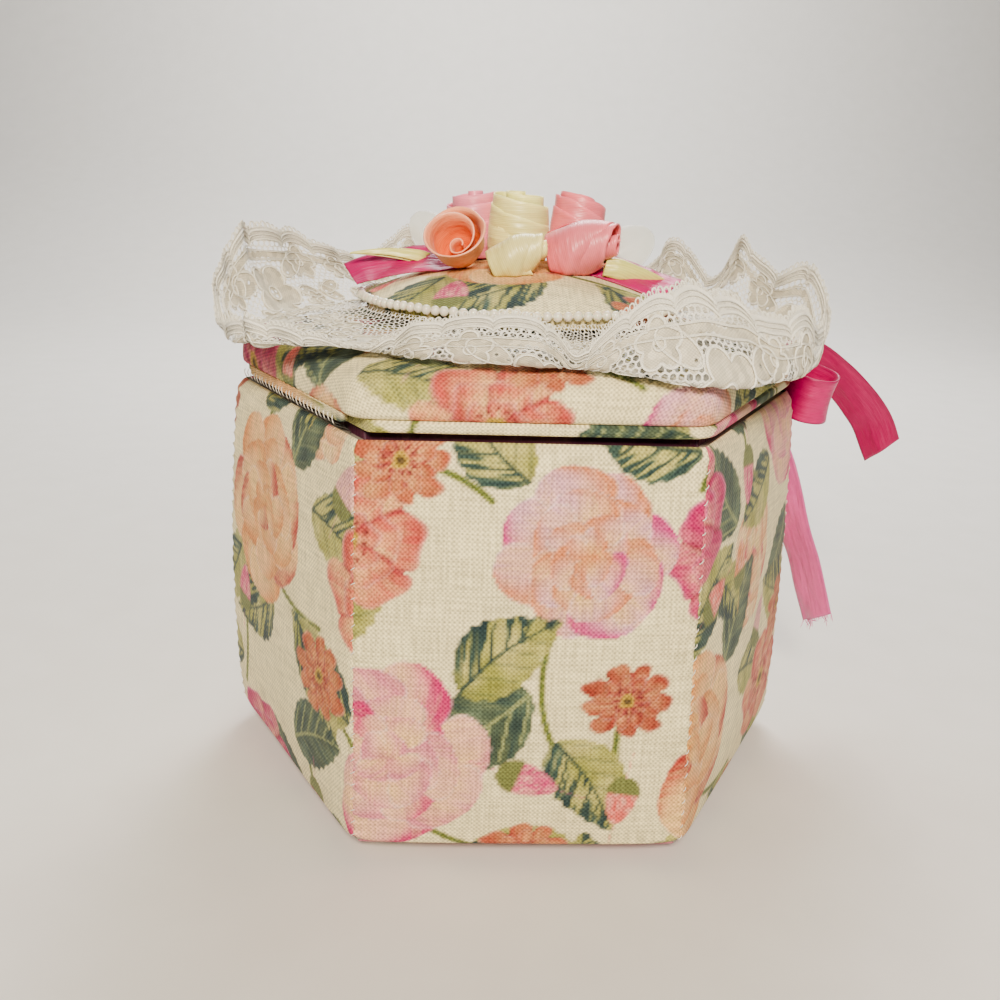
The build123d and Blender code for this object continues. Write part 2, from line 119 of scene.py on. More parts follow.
# Smooth values from -1 to 1: seeded numbers on a square lattice of that grain, eased between its points.
def softNoise(x, y, grain):
    u, v = np.asarray(x, float) / grain, np.asarray(y, float) / grain
    i, j = np.floor(u).astype(int), np.floor(v).astype(int)
    a, b = u - i, v - j
    a, b = a * a * (3 - 2 * a), b * b * (3 - 2 * b)
    size = len(lattice)
    i, j, i2, j2 = i % size, j % size, (i + 1) % size, (j + 1) % size
    low = lattice[i, j] * (1 - a) + lattice[i2, j] * a
    high = lattice[i, j2] * (1 - a) + lattice[i2, j2] * a
    return 2 * (low * (1 - b) + high * b) - 1


# The Catmull-Rom cubic from b to c, with a before them and d after, at shares t.
def catmullRom(a, b, c, d, t):
    return 0.5 * (2 * b + (c - a) * t + (2 * a - 5 * b + 4 * c - d) * t ** 2 + (3 * b - a - 3 * c + d) * t ** 3)


# A Catmull-Rom curve through points (n, d), then count points evenly spaced along it.
def smoothLine(points, count):
    p = np.asarray(points, float)
    p = np.vstack([2 * p[0] - p[1], p, 2 * p[-1] - p[-2]])
    t = np.linspace(0, 1, 24, endpoint=False)[:, None]
    runs = [catmullRom(a, b, c, d, t) for a, b, c, d in zip(p, p[1:], p[2:], p[3:])]
    line = np.vstack(runs + [p[-2:-1]])
    far = np.concatenate([[0], np.cumsum(np.linalg.norm(np.diff(line, axis=0), axis=1))])
    at = np.linspace(0, far[-1], count)
    return np.stack([np.interp(at, far, line[:, i]) for i in range(line.shape[1])], 1)


# Vectors over their own length.
def unit(v):
    return v / np.maximum(np.linalg.norm(v, axis=-1, keepdims=True), 1e-9)


# One mesh from surfaces. Each is a dict of points (..., rows, columns, 3) in mm and, if wanted, print, a colour, and
# cloth, a place on the cloth in mm, for the same grid. Points that meet are joined, so seams and poles close.
def makePiece(name, surfaces, material, closed=True, smooth=True):
    allPoints, allQuads, allPrint, allCloth, base = [], [], [], [], 0
    for surface in surfaces:
        points = np.asarray(surface["points"], float)
        rows, cols = points.shape[-3:-1]
        grids = points.reshape(-1, rows * cols, 3)
        ids = np.arange(rows * cols).reshape(rows, cols)
        quads = np.stack([ids[:-1, :-1], ids[:-1, 1:], ids[1:, 1:], ids[1:, :-1]], -1).reshape(-1, 4)
        quads = (quads[None] + (np.arange(len(grids)) * rows * cols)[:, None, None]).reshape(-1, 4) + base
        full = points.shape
        allPrint.append(np.broadcast_to(surface.get("print", (1.0, 1.0, 1.0)), full).reshape(-1, 3))
        allCloth.append(np.broadcast_to(surface.get("cloth", points), full).reshape(-1, 3))
        allPoints.append(grids.reshape(-1, 3))
        allQuads.append(quads)
        base += grids.shape[0] * rows * cols
    points, quads = np.vstack(allPoints), np.vstack(allQuads)
    tints, cloth = np.vstack(allPrint), np.vstack(allCloth)
    keys = np.round(points / joinReach).astype(np.int64)
    _, first, back = np.unique(keys, axis=0, return_index=True, return_inverse=True)
    ids = back.reshape(-1)[quads]
    keep = ids != np.roll(ids, -1, axis=1)                        # a corner that meets the next one is dropped
    fine = keep.sum(1) >= 3
    ids, keep, quads = ids[fine], keep[fine], quads[fine]
    counts, corners, sources = keep.sum(1), ids[keep], quads[keep]
    mesh = bpy.data.meshes.new(name)
    mesh.vertices.add(len(first))
    mesh.vertices.foreach_set("co", (points[first] * mm).astype(np.float32).ravel())
    mesh.loops.add(len(corners))
    mesh.loops.foreach_set("vertex_index", corners.astype(np.int32))
    mesh.polygons.add(len(counts))
    mesh.polygons.foreach_set("loop_start", np.concatenate([[0], np.cumsum(counts)[:-1]]).astype(np.int32))
    mesh.update(calc_edges=True)
    tint = mesh.color_attributes.new(name="print", type="FLOAT_COLOR", domain="CORNER")
    tint.data.foreach_set("color", np.hstack([tints[sources], np.ones((len(sources), 1))]).astype(np.float32).ravel())
    place = mesh.attributes.new("cloth", "FLOAT_VECTOR", "CORNER")
    place.data.foreach_set("vector", cloth[sources].astype(np.float32).ravel())
    mesh.validate()
    if closed:
        work = bmesh.new()
        work.from_mesh(mesh)
        bmesh.ops.recalc_face_normals(work, faces=work.faces)
        work.to_mesh(mesh)
        work.free()
    mesh.polygons.foreach_set("use_smooth", np.full(len(mesh.polygons), smooth))
    mesh.materials.append(material)
    piece = bpy.data.objects.new(name, mesh)
    bpy.context.scene.collection.objects.link(piece)
    return piece


# The values on a grid's four edges, once round.
def edgeLoop(grid):
    return np.concatenate([grid[0], grid[1:, -1], grid[-1, -2::-1], grid[-2::-1, 0]])


# A ribbon of real thickness from one grid: its two faces lie half the thickness each side along the grid's normals,
# each with its own tint, and a strip round the four edges closes it.
def twoFaced(surface, thickness, backTint=None):
    points = np.asarray(surface["points"], float)
    normal = unit(np.cross(np.gradient(points, axis=0), np.gradient(points, axis=1)))
    tint = np.broadcast_to(surface.get("print", (1.0, 1.0, 1.0)), points.shape)
    backTint = tint if backTint is None else np.broadcast_to(backTint, points.shape)
    cloth = np.broadcast_to(surface["cloth"], points.shape)
    front, back = points + normal * thickness / 2, points - normal * thickness / 2
    return [{"points": front, "cloth": cloth, "print": tint}, {"points": back, "cloth": cloth, "print": backTint},
            {"points": np.stack([edgeLoop(front), edgeLoop(back)]), "cloth": np.stack([edgeLoop(cloth)] * 2),
             "print": np.stack([edgeLoop(tint), edgeLoop(backTint)])}]


# The surface of printed cloth on a grid: its points, its place on the cloth in mm and the print there.
def printed(points, cloth):
    return {"points": points, "cloth": cloth, "print": paintPrint(cloth[..., 0], cloth[..., 1])}


# The piece rides on a body and stands for CAD nodes, which it hides; its slot name is not used.
def claim(piece, body, slotName, *nodes):
    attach(piece, body)
    if nodes:
        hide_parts(*nodes)
    return piece


# Points given along a facet, outward and up, turned to the facet's direction in degrees.
def facetPoints(x, y, z, direction):
    c, s = cos(radians(direction)), sin(radians(direction))
    return np.stack([c * y - s * x, s * y + c * x, z + 0 * x + 0 * y], -1)


# Points (..., 3) along, outward and up at the bow's facet, with its along axis towards the front.
def bowPoints(p):
    c, s = cos(radians(facets["rear_right"])), sin(radians(facets["rear_right"]))
    return np.stack([c * p[..., 1] + s * p[..., 0], s * p[..., 1] - c * p[..., 0], p[..., 2]], -1)


# Radius of a hexagon with rounded corners: apothem / cos on the flats, and the corner circle's far side.
def roundedHexagon(theta, apothem, corner):
    off = np.abs(theta % 60 - 30)                                 # degrees from a facet's middle
    apothem, corner = np.broadcast_arrays(np.asarray(apothem, float), np.asarray(corner, float))
    flatEnd = np.degrees(np.arctan2((apothem - corner) * tan(pi / 6), apothem))
    middle = (apothem - corner) / cos(pi / 6)
    slant = np.radians(30 - off)
    flat = apothem / np.cos(np.radians(off))
    arc = middle * np.cos(slant) + np.sqrt(np.maximum(corner ** 2 - (middle * np.sin(slant)) ** 2, 0))
    return np.where(off <= flatEnd, flat, arc)


# A soft block: a ball whose sines and cosines are raised to a power, so that its sides flatten.
def boxLoaf(middle, half, rows, cols, power):
    a = np.linspace(-pi / 2, pi / 2, rows)[:, None]
    b = np.linspace(0, 2 * pi, cols + 1)[None, :]
    (c, s), (d, e) = ([np.sign(v) * np.abs(v) ** power for v in (np.cos(turn), np.sin(turn))] for turn in (a, b))
    x, y, z = c * d, c * e, s + 0 * b
    x[:, -1], y[:, -1] = x[:, 0], y[:, 0]
    return np.stack([middle[0] + half[0] * x, middle[1] + half[1] * y, middle[2] + half[2] * z], -1)


# Round threads along lines (n, points, 3): circles square to each line, with pinched ends.
def tubes(lines, radius, sides):
    lines = np.asarray(lines, float)
    run = unit(np.gradient(lines, axis=1))
    aside = unit(np.cross(run, np.array([0.31, 0.17, 0.93])))     # a direction that no thread runs in
    above = np.cross(run, aside)
    turn = np.linspace(0, 2 * pi, sides + 1)
    turn[-1] = 0
    size = np.full(lines.shape[1], float(radius))
    size[0] = size[-1] = 0
    ring = aside[:, :, None] * np.cos(turn)[:, None] + above[:, :, None] * np.sin(turn)[:, None]
    points = lines[:, :, None] + ring * size[:, None, None]
    length = np.linalg.norm(lines[:, -1] - lines[:, 0], axis=-1)[:, None, None]
    far = np.linspace(0, 1, lines.shape[1])[None, :, None] * length
    none = 0 * points[..., 0]
    cloth = np.stack([far + none, turn * radius + none, none], -1)
    return {"points": points, "cloth": cloth}


clothPrint = {
    "tileWidth": 156.0, "tileHeight": 130.0,                      # the repeat, in mm, with a half drop
    "ground": "#F1E4B8", "softEdge": 0.32, "motifScale": 1.42,
    # foot, body and rim of a petal, and the accent of a few of them
    "palettes": {"blush": ("#F3D190", "#EDB8A8", "#DA8596", "#C92E6C"),
                 "apricot": ("#F5D690", "#EEBC8C", "#D68A50", "#B0403A"),
                 "lilac": ("#EFCB88", "#E2AFB8", "#D6895E", "#C8347A"),
                 "cream": ("#F3D490", "#F3D4A6", "#DE9870", "#CC4A58")},
    "crease": "#8E2F3C", "eye": ("#C2A54A", "#5B4A36"), "stamens": "#7A3036",   # of the single flowers
    # light to dark olive, light to dark blue-green, and the veins on a light and on a dark leaf
    "leafLight": ("#C6BE7E", "#98994F"), "leafDark": ("#50675A", "#27393F"), "veins": ("#2B3F42", "#A9AE74"),
    "stem": ("#76803F", "#3E5549"), "budLight": "#F0B9A6", "budCup": "#7C8250",
    # each ring of a full bloom: petals, start, length and half width as shares of its radius
    "rings": [(8, 0.26, 0.74, 0.40), (7, 0.14, 0.60, 0.34), (6, 0.06, 0.44, 0.26), (4, 0.0, 0.28, 0.19)],
    # start, bend and end of each stem
    "stems": [((88, 34), (80, 50), (62, 60)), ((100, 20), (112, 10), (128, 8)), ((34, 78), (46, 70), (62, 72)),
              ((26, 104), (24, 116), (36, 126)), ((132, 66), (128, 50), (134, 38)), ((8, 34), (14, 48), (12, 62)),
              ((60, 22), (50, 12), (52, 2)), ((118, 96), (108, 104), (96, 104)), ((58, 50), (52, 36), (56, 22)),
              ((150, 52), (146, 38), (150, 24))],
    # place along and up the cloth, length, turn in degrees, half width as a share of the length
    "leaves": [(76, 54, 24, 150, 0.50), (82, 62, 21, 62, 0.46), (116, 12, 26, -34, 0.5), (102, 2, 20, 215, 0.44),
               (50, 70, 23, -52, 0.5), (34, 70, 22, 205, 0.46), (22, 118, 22, 40, 0.5), (128, 52, 24, -150, 0.48),
               (134, 40, 20, -60, 0.5), (8, 42, 19, 165, 0.46), (12, 60, 23, 70, 0.5), (48, 12, 20, 130, 0.5),
               (106, 108, 22, 160, 0.48), (58, 100, 21, -20, 0.45), (148, 112, 24, 100, 0.5), (46, 36, 20, 20, 0.5)],
    "overLeaves": [(112, 52, 20, 38, 0.5), (76, 22, 19, 205, 0.5), (46, 108, 20, 52, 0.5), (10, 76, 19, 225, 0.5),
                   (126, 100, 18, 130, 0.5), (36, 2, 16, -40, 0.5)],
    # place, radius, turn in degrees, palette
    "peonies": [(96, 34, 17.5, 15, "blush"), (28, 92, 18, 50, "apricot"), (140, 84, 14.5, 20, "lilac"),
                (62, 128, 12, 75, "cream")],
    # place, radius, turn, inner and outer colour
    "daisies": [(62, 60, 8.8, 10, "#E4B074", "#B0543C"), (128, 8, 8.4, 40, "#E6B680", "#BC624A"),
                (150, 50, 7.8, 70, "#DDA878", "#A0483A"), (98, 104, 8.2, 25, "#E6B680", "#B65E46")],
    "anemones": [(20, 18, 13.5, 20, "#F0B89A", "#BC2A66"), (86, 86, 13, 30, "#F4CC92", "#C85A52")],
    # place, size, turn, colour
    "buds": [(128, 30, 5.2, -20, "#D2427A"), (36, 127, 4.6, 30, "#E0605A"), (12, 64, 5, 80, "#D2427A"),
             (56, 22, 5, -95, "#D2427A"), (52, 1, 4.6, 95, "#D9824A"), (74, 108, 5, 60, "#D9A3A8"),
             (150, 24, 4.6, -100, "#E0605A")],
}


# From 0 at low to 1 at high by 3t^2 - 2t^3.
def eased(value, low, high):
    t = np.clip((value - low) / (high - low), 0, 1)
    return t * t * (3 - 2 * t)


# Offsets from the nearest copy of a motif: whole columns first, each dropped by half a tile, then rows.
def nearestRepeat(s, t, s0, t0):
    wide, high = clothPrint["tileWidth"], clothPrint["tileHeight"]
    column = np.round((s - s0) / wide)
    x, y = s - s0 - wide * column, t - t0 - high / 2 * column
    return x, y - high * np.round(y / high)


# The places within reach of the nearest copy of a motif: which they are, and how far from its middle.
def nearMotif(s, t, s0, t0, reach):
    x, y = nearestRepeat(s, t, s0, t0)
    index = np.nonzero(x * x + y * y < reach ** 2)[0]
    return index, x[index], y[index]


# Between two colours by an amount from 0 to 1 for each place.
def between(first, second, amount):
    return first * (1 - amount[:, None]) + second * amount[:, None]


# Lays a colour over some of the places, as far as the mask says.
def paintOver(rgb, index, mask, colour):
    mask = np.clip(mask, 0, 1)[:, None]
    rgb[index] = rgb[index] * (1 - mask) + np.asarray(colour) * mask


# A full bloom: rings of egg-shaped petals laid from the outside in. Half width = fat x sin(pi u^1.3)^0.55 over a
# petal's length u; its wash runs from foot to body colour in streaks, pools toward the rim colour on one side, and ends
# in a thin pale edge.
def paintPeony(rgb, s, t, row):
    s0, t0, size, turn, palette = row
    rng = np.random.default_rng(int(7 * s0 + t0))
    size = size * clothPrint["motifScale"]
    index, x, y = nearMotif(s, t, s0, t0, 1.2 * size)
    soft = clothPrint["softEdge"]
    foot, body, rim, accent = (fromHex(colour) for colour in clothPrint["palettes"][palette])
    for ring, (count, start, length, fat) in enumerate(clothPrint["rings"]):
        for k in range(count):
            way = radians(turn) + 2 * pi * (k + 0.5 * (ring % 2)) / count + rng.uniform(-0.18, 0.18)
            long, fatness = size * length * rng.uniform(0.84, 1.08), size * fat * rng.uniform(0.86, 1.16)
            side = rng.choice([-1, 1])
            u, v = x * cos(way) + y * sin(way) - start * size, y * cos(way) - x * sin(way)
            v = v + side * 0.10 * size * np.clip(u / long, 0, 1) ** 2
            share = np.clip(u / long, 0, 1)
            wide = fatness * np.sin(pi * share ** 1.3) ** 0.55 + 0.35 * softNoise(u + 17 * k, v, 2.2)
            mask = eased(wide - np.abs(v), -soft, soft) * eased(u, -soft, soft) * eased(long - u, -soft, soft)
            streak = softNoise(v * 1.8 + 23 * k, u * 0.22, 1.0)
            wash = softNoise(x + 13 * k, y + 29 * ring, size * 0.32)
            colour = between(foot, body, np.clip(0.05 + 0.95 * share ** 1.1 + 0.22 * streak + 0.32 * wash, 0, 1))
            deep = accent if rng.random() < 0.24 else rim
            pool = np.exp(-((wide - side * v) / (0.24 * size)) ** 2) * (0.75 + 0.3 * wash + 0.3 * streak)
            colour = between(colour, deep, np.clip(pool, 0, 0.9))
            low = 0.6 * np.exp(-share / 0.16) * (ring < 3) * (0.8 + 0.4 * streak)
            colour = between(colour, 0.55 * rim + 0.45 * accent, low)
            edge = 0.5 * np.exp(-((wide - np.abs(v)) / 0.42) ** 2) * (share > 0.25)
            paintOver(rgb, index, mask, between(colour, 0.35 * body + 0.65, edge))


# A daisy or an anemone: three layers of petals where r is under size x (1 - frill x the notch between petals), streaked
# outward from an eye with a ring of stamens.
def paintBloom(rgb, s, t, row, petals, frill):
    s0, t0, size, turn, inner, outer = row
    size = size * clothPrint["motifScale"]
    index, x, y = nearMotif(s, t, s0, t0, 1.25 * size)
    soft, inner, outer = clothPrint["softEdge"], fromHex(inner), fromHex(outer)
    r, a = np.hypot(x, y * 1.12), np.arctan2(y, x) + radians(turn)
    for layer, reach in enumerate((1.0, 0.70, 0.45)):
        angle = a + layer * 0.9 + 0.16 * softNoise(x + 40 * layer, y, size * 0.5)
        share = angle * petals / (2 * pi) % 1
        lobe = np.abs(np.sin(pi * share)) ** 0.5
        uneven = 1 + 0.09 * softNoise(x, y + 60 * layer, size * 0.3) + 0.04 * np.cos(9 * a)
        edge = size * reach * (1 - frill * (1 - lobe)) * uneven
        mask = eased(edge - r, -soft, soft)
        depth = np.clip(r / np.maximum(edge, 0.1), 0, 1)
        streak = softNoise(angle * size * 1.6, r * 0.18 + 9 * layer, 0.9) + softNoise(angle * size * 0.6, r * 0.1, 1.3)
        wash = softNoise(x + 70 * layer, y + 11, size * 0.3)
        blend = 0.10 + 0.70 * depth ** 1.3 + 0.17 * streak + 0.42 * (share - 0.5) + 0.28 * wash
        colour = between(inner, outer, np.clip(blend, 0, 1))
        rim = 0.55 * np.exp(-((edge - r) / (0.05 * size)) ** 2) * (0.6 + 0.4 * wash)
        colour = between(colour, 0.4 * inner + 0.6, rim)
        crease = np.exp(-(np.minimum(share, 1 - share) * r * 2 * pi / petals / 0.6) ** 2) * eased(depth, 0.1, 0.5)
        paintOver(rgb, index, mask, between(colour, fromHex(clothPrint["crease"]), 0.5 * crease))
    eye = 0.15 * size
    pale, dark = (fromHex(colour) for colour in clothPrint["eye"])
    paintOver(rgb, index, 0.9 * eased(eye * 1.15 - r + 0.5 * softNoise(x, y, 1.2), -soft, soft), pale)
    paintOver(rgb, index, 0.85 * eased(eye * 0.6 - r, -soft, soft), dark)
    ring = eye * 1.8 + 0.7 * softNoise(a * 6, a * 0, 0.8)
    dots = eased(np.cos(a * 13 + 0.8 * np.sin(3 * a)), 0.1, 0.7) * eased(0.5 - np.abs(r - ring), -0.35, 0.35)
    paintOver(rgb, index, 0.8 * dots, fromHex(clothPrint["stamens"]))


# An ovate leaf along its own x: half width = width x sin(pi x^0.72)^0.85, an olive wash, one half brushed blue-green in
# strokes that follow the veins, and every fourth leaf blue-green all over.
def paintLeaf(rgb, s, t, row, number):
    s0, t0, length, turn, fat = row
    length = length * clothPrint["motifScale"]
    index, x, y = nearMotif(s, t, s0, t0, 1.1 * length)
    c, d = cos(radians(turn)), sin(radians(turn))
    x, y = x * c + y * d, y * c - x * d
    y = y - 0.07 * length * np.sin(pi * x / length)
    along = np.clip(x / length, 0, 1)
    wide = fat * 0.62 * length * np.sin(pi * along ** 0.72) ** 0.85
    wide = wide + 0.3 * np.sin(x * 1.9 + number) + 0.3 * softNoise(x, y, 1.6)
    mask = eased(wide - np.abs(y), -0.3, 0.3) * (x > 0) * (x < length)
    side = y * (1 if number % 2 else -1)
    wash = 0.5 + 0.5 * softNoise(x + 31 * number, y, 4.2)
    slant = x - 0.95 * np.abs(y)
    brush = softNoise(slant * 1.1 + 40, np.abs(y) * 0.25 + number, 1.3)
    light, dark = (between(fromHex(deep), fromHex(pale), wash)
                   for pale, deep in (clothPrint["leafLight"], clothPrint["leafDark"]))
    amount = eased(side + 0.9 * brush, -0.5, 0.7) * eased(brush + 0.9 * np.abs(y) / np.maximum(wide, 0.5), 0.1, 0.75)
    allDark = number % 4 == 3
    if allDark:
        amount = 0.82 + 0.18 * brush
    colour = between(light, dark, np.clip(amount, 0, 1))
    vein = eased(np.cos(2 * pi * slant / (0.17 * length)), 0.72, 0.97) * eased(wide - np.abs(y), 0.2, 1.6)
    vein = vein * (0.3 + 0.7 * (side > 0))
    vein = np.maximum(vein, eased(0.40 - np.abs(y) * (0.6 + along), -0.15, 0.25))
    paintOver(rgb, index, 0.96 * mask, between(colour, fromHex(clothPrint["veins"][allDark]), 0.75 * vein))


# A stem: all within 0.75 mm of a bent line, start x (1 - k)^2 + bend x 2k (1 - k) + end x k^2, darker in its middle.
def paintStem(rgb, s, t, row):
    start, bend, end = (np.array(point) for point in row)
    k = np.linspace(0, 1, 30)[:, None]
    line = start * (1 - k) ** 2 + 2 * bend * k * (1 - k) + end * k ** 2
    index, x, y = nearMotif(s, t, *line[15], 26)
    near = np.full(len(index), 99.0)
    for px, py in line - line[15]:
        near = np.minimum(near, np.hypot(x - px, y - py))
    green, shade = (fromHex(colour) for colour in clothPrint["stem"])
    paintOver(rgb, index, eased(0.75 - near, -0.35, 0.35), green)
    paintOver(rgb, index, 0.6 * eased(0.3 - near, -0.2, 0.3), shade)


# A bud along its own x: half width = 0.55 x size x sqrt(1 - (x / size)^2), fuller at its foot, with a green cup there.
def paintBud(rgb, s, t, row):
    s0, t0, size, turn, colour = row
    size = size * clothPrint["motifScale"]
    index, x, y = nearMotif(s, t, s0, t0, 2 * size)
    c, d = cos(radians(turn)), sin(radians(turn))
    x, y = x * c + y * d, -x * d + y * c
    wide = size * 0.55 * np.sqrt(np.maximum(1 - (x / size) ** 2, 0)) * (1 - 0.3 * x / size)
    streak = 0.5 + 0.5 * softNoise(y * 3, x * 0.4, 0.8)
    petals = between(fromHex(clothPrint["budLight"]), fromHex(colour), streak)
    paintOver(rgb, index, eased(wide - np.abs(y), -0.4, 0.4), petals)
    cup = eased(-x - 0.3 * size, -0.4, 0.4) * eased(wide + 0.3 - np.abs(y), -0.4, 0.4) * (x > -size)
    paintOver(rgb, index, cup, fromHex(clothPrint["budCup"]))


# Linear colour of the printed cloth at places along and up it in mm: a cream ground, stems, leaves, blooms, more leaves
# and buds.
def paintPrint(s, t):
    shape = np.shape(s)
    s, t = np.ravel(np.asarray(s, float)), np.ravel(np.asarray(t, float))
    rgb = np.tile(fromHex(clothPrint["ground"]), (len(s), 1))
    rgb *= 1 + 0.012 * softNoise(s, t, 9.0)[:, None]
    for row in clothPrint["stems"]:
        paintStem(rgb, s, t, row)
    for number, row in enumerate(clothPrint["leaves"]):
        paintLeaf(rgb, s, t, row, number)
    for row in clothPrint["anemones"]:
        paintBloom(rgb, s, t, row, petals=6, frill=0.2)
    for row in clothPrint["peonies"]:
        paintPeony(rgb, s, t, row)
    for row in clothPrint["daisies"]:
        paintBloom(rgb, s, t, row, petals=9, frill=0.5)
    for number, row in enumerate(clothPrint["overLeaves"]):
        paintLeaf(rgb, s, t, row, number + 5)
    for row in clothPrint["buds"]:
        paintBud(rgb, s, t, row)
    return toLinear(np.clip(rgb, 0, 1)).reshape(shape + (3,))


def newMaterial(name):
    material = bpy.data.materials.new(name)
    material.use_nodes = True
    return material, material.node_tree, material.node_tree.nodes["Principled BSDF"]


# A node's inputs: another node's socket is linked, and a number, vector or hex colour is set on the socket itself.
def setSockets(node, inputs):
    for key, value in inputs.items():
        if isinstance(value, bpy.types.NodeSocket):
            node.id_data.links.new(value, node.inputs[key])
        else:
            node.inputs[key].default_value = hexColour(value) if isinstance(value, str) else value


# Adds one node with its inputs and settings.
def addNode(tree, kind, inputs={}, **settings):
    node = tree.nodes.new("ShaderNode" + kind)
    for key, value in settings.items():
        setattr(node, key, value)
    setSockets(node, inputs)
    return node


blending = {"data_type": "RGBA", "blend_type": "MIX"}
tinting = {"data_type": "RGBA", "blend_type": "MULTIPLY"}


# A colour made lighter or darker by a level.
def shaded(tree, colour, level):
    grey = addNode(tree, "CombineColor", {channel: level for channel in range(3)}).outputs[0]
    return addNode(tree, "Mix", {0: 1.0, 6: colour, 7: grey}, **tinting).outputs[2]


# Height of a plain weave at the cloth's own millimetres: the product of two sines is a chequer of raised threads. The
# place on the cloth and the two sines come with it.
def threads(tree, along, across):
    place = addNode(tree, "Attribute", attribute_name="cloth").outputs["Vector"]
    parts = addNode(tree, "SeparateXYZ", {0: place})
    waves = []
    for axis, pitch in ((0, along), (1, across)):
        turn = addNode(tree, "Math", {0: parts.outputs[axis], 1: pi / pitch}, operation="MULTIPLY").outputs[0]
        waves.append(addNode(tree, "Math", {0: turn}, operation="SINE").outputs[0])
    chequer = addNode(tree, "Math", {0: waves[0], 1: waves[1]}, operation="MULTIPLY").outputs[0]
    return chequer, place, waves


# Furnishing cotton, plain woven and printed: matt, its threads just seen, each yarn a little lighter or darker than the
# next, with a faint nap at the edges.
def printedCotton():
    pitch = 0.56                                                  # mm, which is 18 threads to the centimetre
    material, tree, shader = newMaterial("printedPlainWeaveCotton")
    weave, place, _ = threads(tree, pitch, pitch)
    ink = addNode(tree, "Attribute", attribute_name="print").outputs["Color"]
    slub = addNode(tree, "TexNoise", {"Vector": place, "Scale": 0.9, "Detail": 3.0, "Roughness": 0.6}).outputs["Fac"]
    yarns = []
    for stretch in ((0.12, 1.8, 1.0), (1.8, 0.12, 1.0)):          # weft, then warp
        run = addNode(tree, "VectorMath", {0: place, 1: stretch}, operation="MULTIPLY").outputs[0]
        yarns.append(addNode(tree, "TexNoise", {"Vector": run, "Scale": 1.0, "Detail": 1.0}).outputs["Fac"])
    both = addNode(tree, "Math", {0: yarns[0], 1: yarns[1]}, operation="ADD").outputs[0]
    uneven = addNode(tree, "MapRange", {0: both, 1: 0.7, 2: 1.3, 3: 0.74, 4: 1.16}).outputs[0]
    pits = addNode(tree, "MapRange", {0: weave, 1: -0.9, 2: 0.6, 3: 0.66, 4: 1.08}).outputs[0]
    level = addNode(tree, "Math", {0: uneven, 1: pits}, operation="MULTIPLY").outputs[0]
    height = addNode(tree, "Math", {0: weave, 1: slub}, operation="ADD").outputs[0]
    bump = addNode(tree, "Bump", {"Height": height, "Strength": 0.5, "Distance": 0.00014}).outputs[0]
    setSockets(shader, {"Base Color": shaded(tree, ink, level), "Normal": bump, "Roughness": 0.88, "Sheen Weight": 0.1,
                        "Sheen Roughness": 0.5, "Specular IOR Level": 0.25})
    return material


# Woven acetate satin: long floats give a soft broad gloss, its colour deeper in soft clouds, with slight creases
# across; it is multiplied by the piece's tint, which carries the painted highlight and painted shade of the roses and
# the dark tail.
def satin(name, hexMain, hexDeep, sheen=0.2):
    rib, floats, gloss = 0.22, 8, 0.37                            # mm; coarser than the real rib so that it shows
    material, tree, shader = newMaterial(name)
    _, place, waves = threads(tree, rib, rib * floats)
    tint = addNode(tree, "Attribute", attribute_name="print").outputs["Color"]
    cloud = addNode(tree, "TexNoise", {"Vector": place, "Scale": 0.35, "Detail": 2.0}).outputs["Fac"]
    body = addNode(tree, "Mix", {0: cloud, 6: hexMain, 7: hexDeep}, **blending).outputs[2]
    level = addNode(tree, "MapRange", {0: waves[0], 1: -1.0, 2: 1.0, 3: 0.93, 4: 1.04}).outputs[0]
    body = addNode(tree, "Mix", {0: 1.0, 6: shaded(tree, body, level), 7: tint}, **tinting).outputs[2]
    soft = addNode(tree, "MapRange", {0: cloud, 1: 0.3, 2: 0.7, 3: gloss - 0.04, 4: gloss + 0.06}).outputs[0]
    stretch = addNode(tree, "VectorMath", {0: place, 1: (0.75, 0.11, 1.0)}, operation="MULTIPLY").outputs[0]
    creases = addNode(tree, "TexNoise", {"Vector": stretch, "Scale": 1.0, "Detail": 2.0}).outputs["Fac"]
    drape = addNode(tree, "Bump", {"Height": creases, "Strength": 0.6, "Distance": 0.0007}).outputs[0]
    fine = {"Height": waves[0], "Normal": drape, "Strength": 0.18, "Distance": 0.00004}
    bump = addNode(tree, "Bump", fine).outputs[0]
    setSockets(shader, {"Base Color": body, "Normal": bump, "Roughness": soft, "Sheen Weight": sheen,
                        "Sheen Roughness": 0.35, "Specular IOR Level": 0.6})
    return material


# Off-white twisted sewing thread: slanted bands for its plies, darker between them.
def sewingThread():
    pitch = 0.5                                                   # mm; along the thread the bands are two pitches apart
    material, tree, shader = newMaterial("sewingThread")
    place = addNode(tree, "Attribute", attribute_name="cloth").outputs["Vector"]
    tint = addNode(tree, "Attribute", attribute_name="print").outputs["Color"]
    twist = addNode(tree, "TexWave", {"Vector": place, "Scale": 0.314 / pitch, "Distortion": 0.4},
                    wave_type="BANDS", bands_direction="DIAGONAL").outputs["Fac"]
    body = addNode(tree, "Mix", {0: twist, 6: "#CFC8B8", 7: "#F3EFE6"}, **blending).outputs[2]
    bump = addNode(tree, "Bump", {"Height": twist, "Strength": 0.4, "Distance": 0.00008}).outputs[0]
    setSockets(shader, {"Base Color": addNode(tree, "Mix", {0: 1.0, 6: body, 7: tint}, **tinting).outputs[2],
                        "Normal": bump, "Roughness": 0.6, "Sheen Weight": 0.2})
    return material


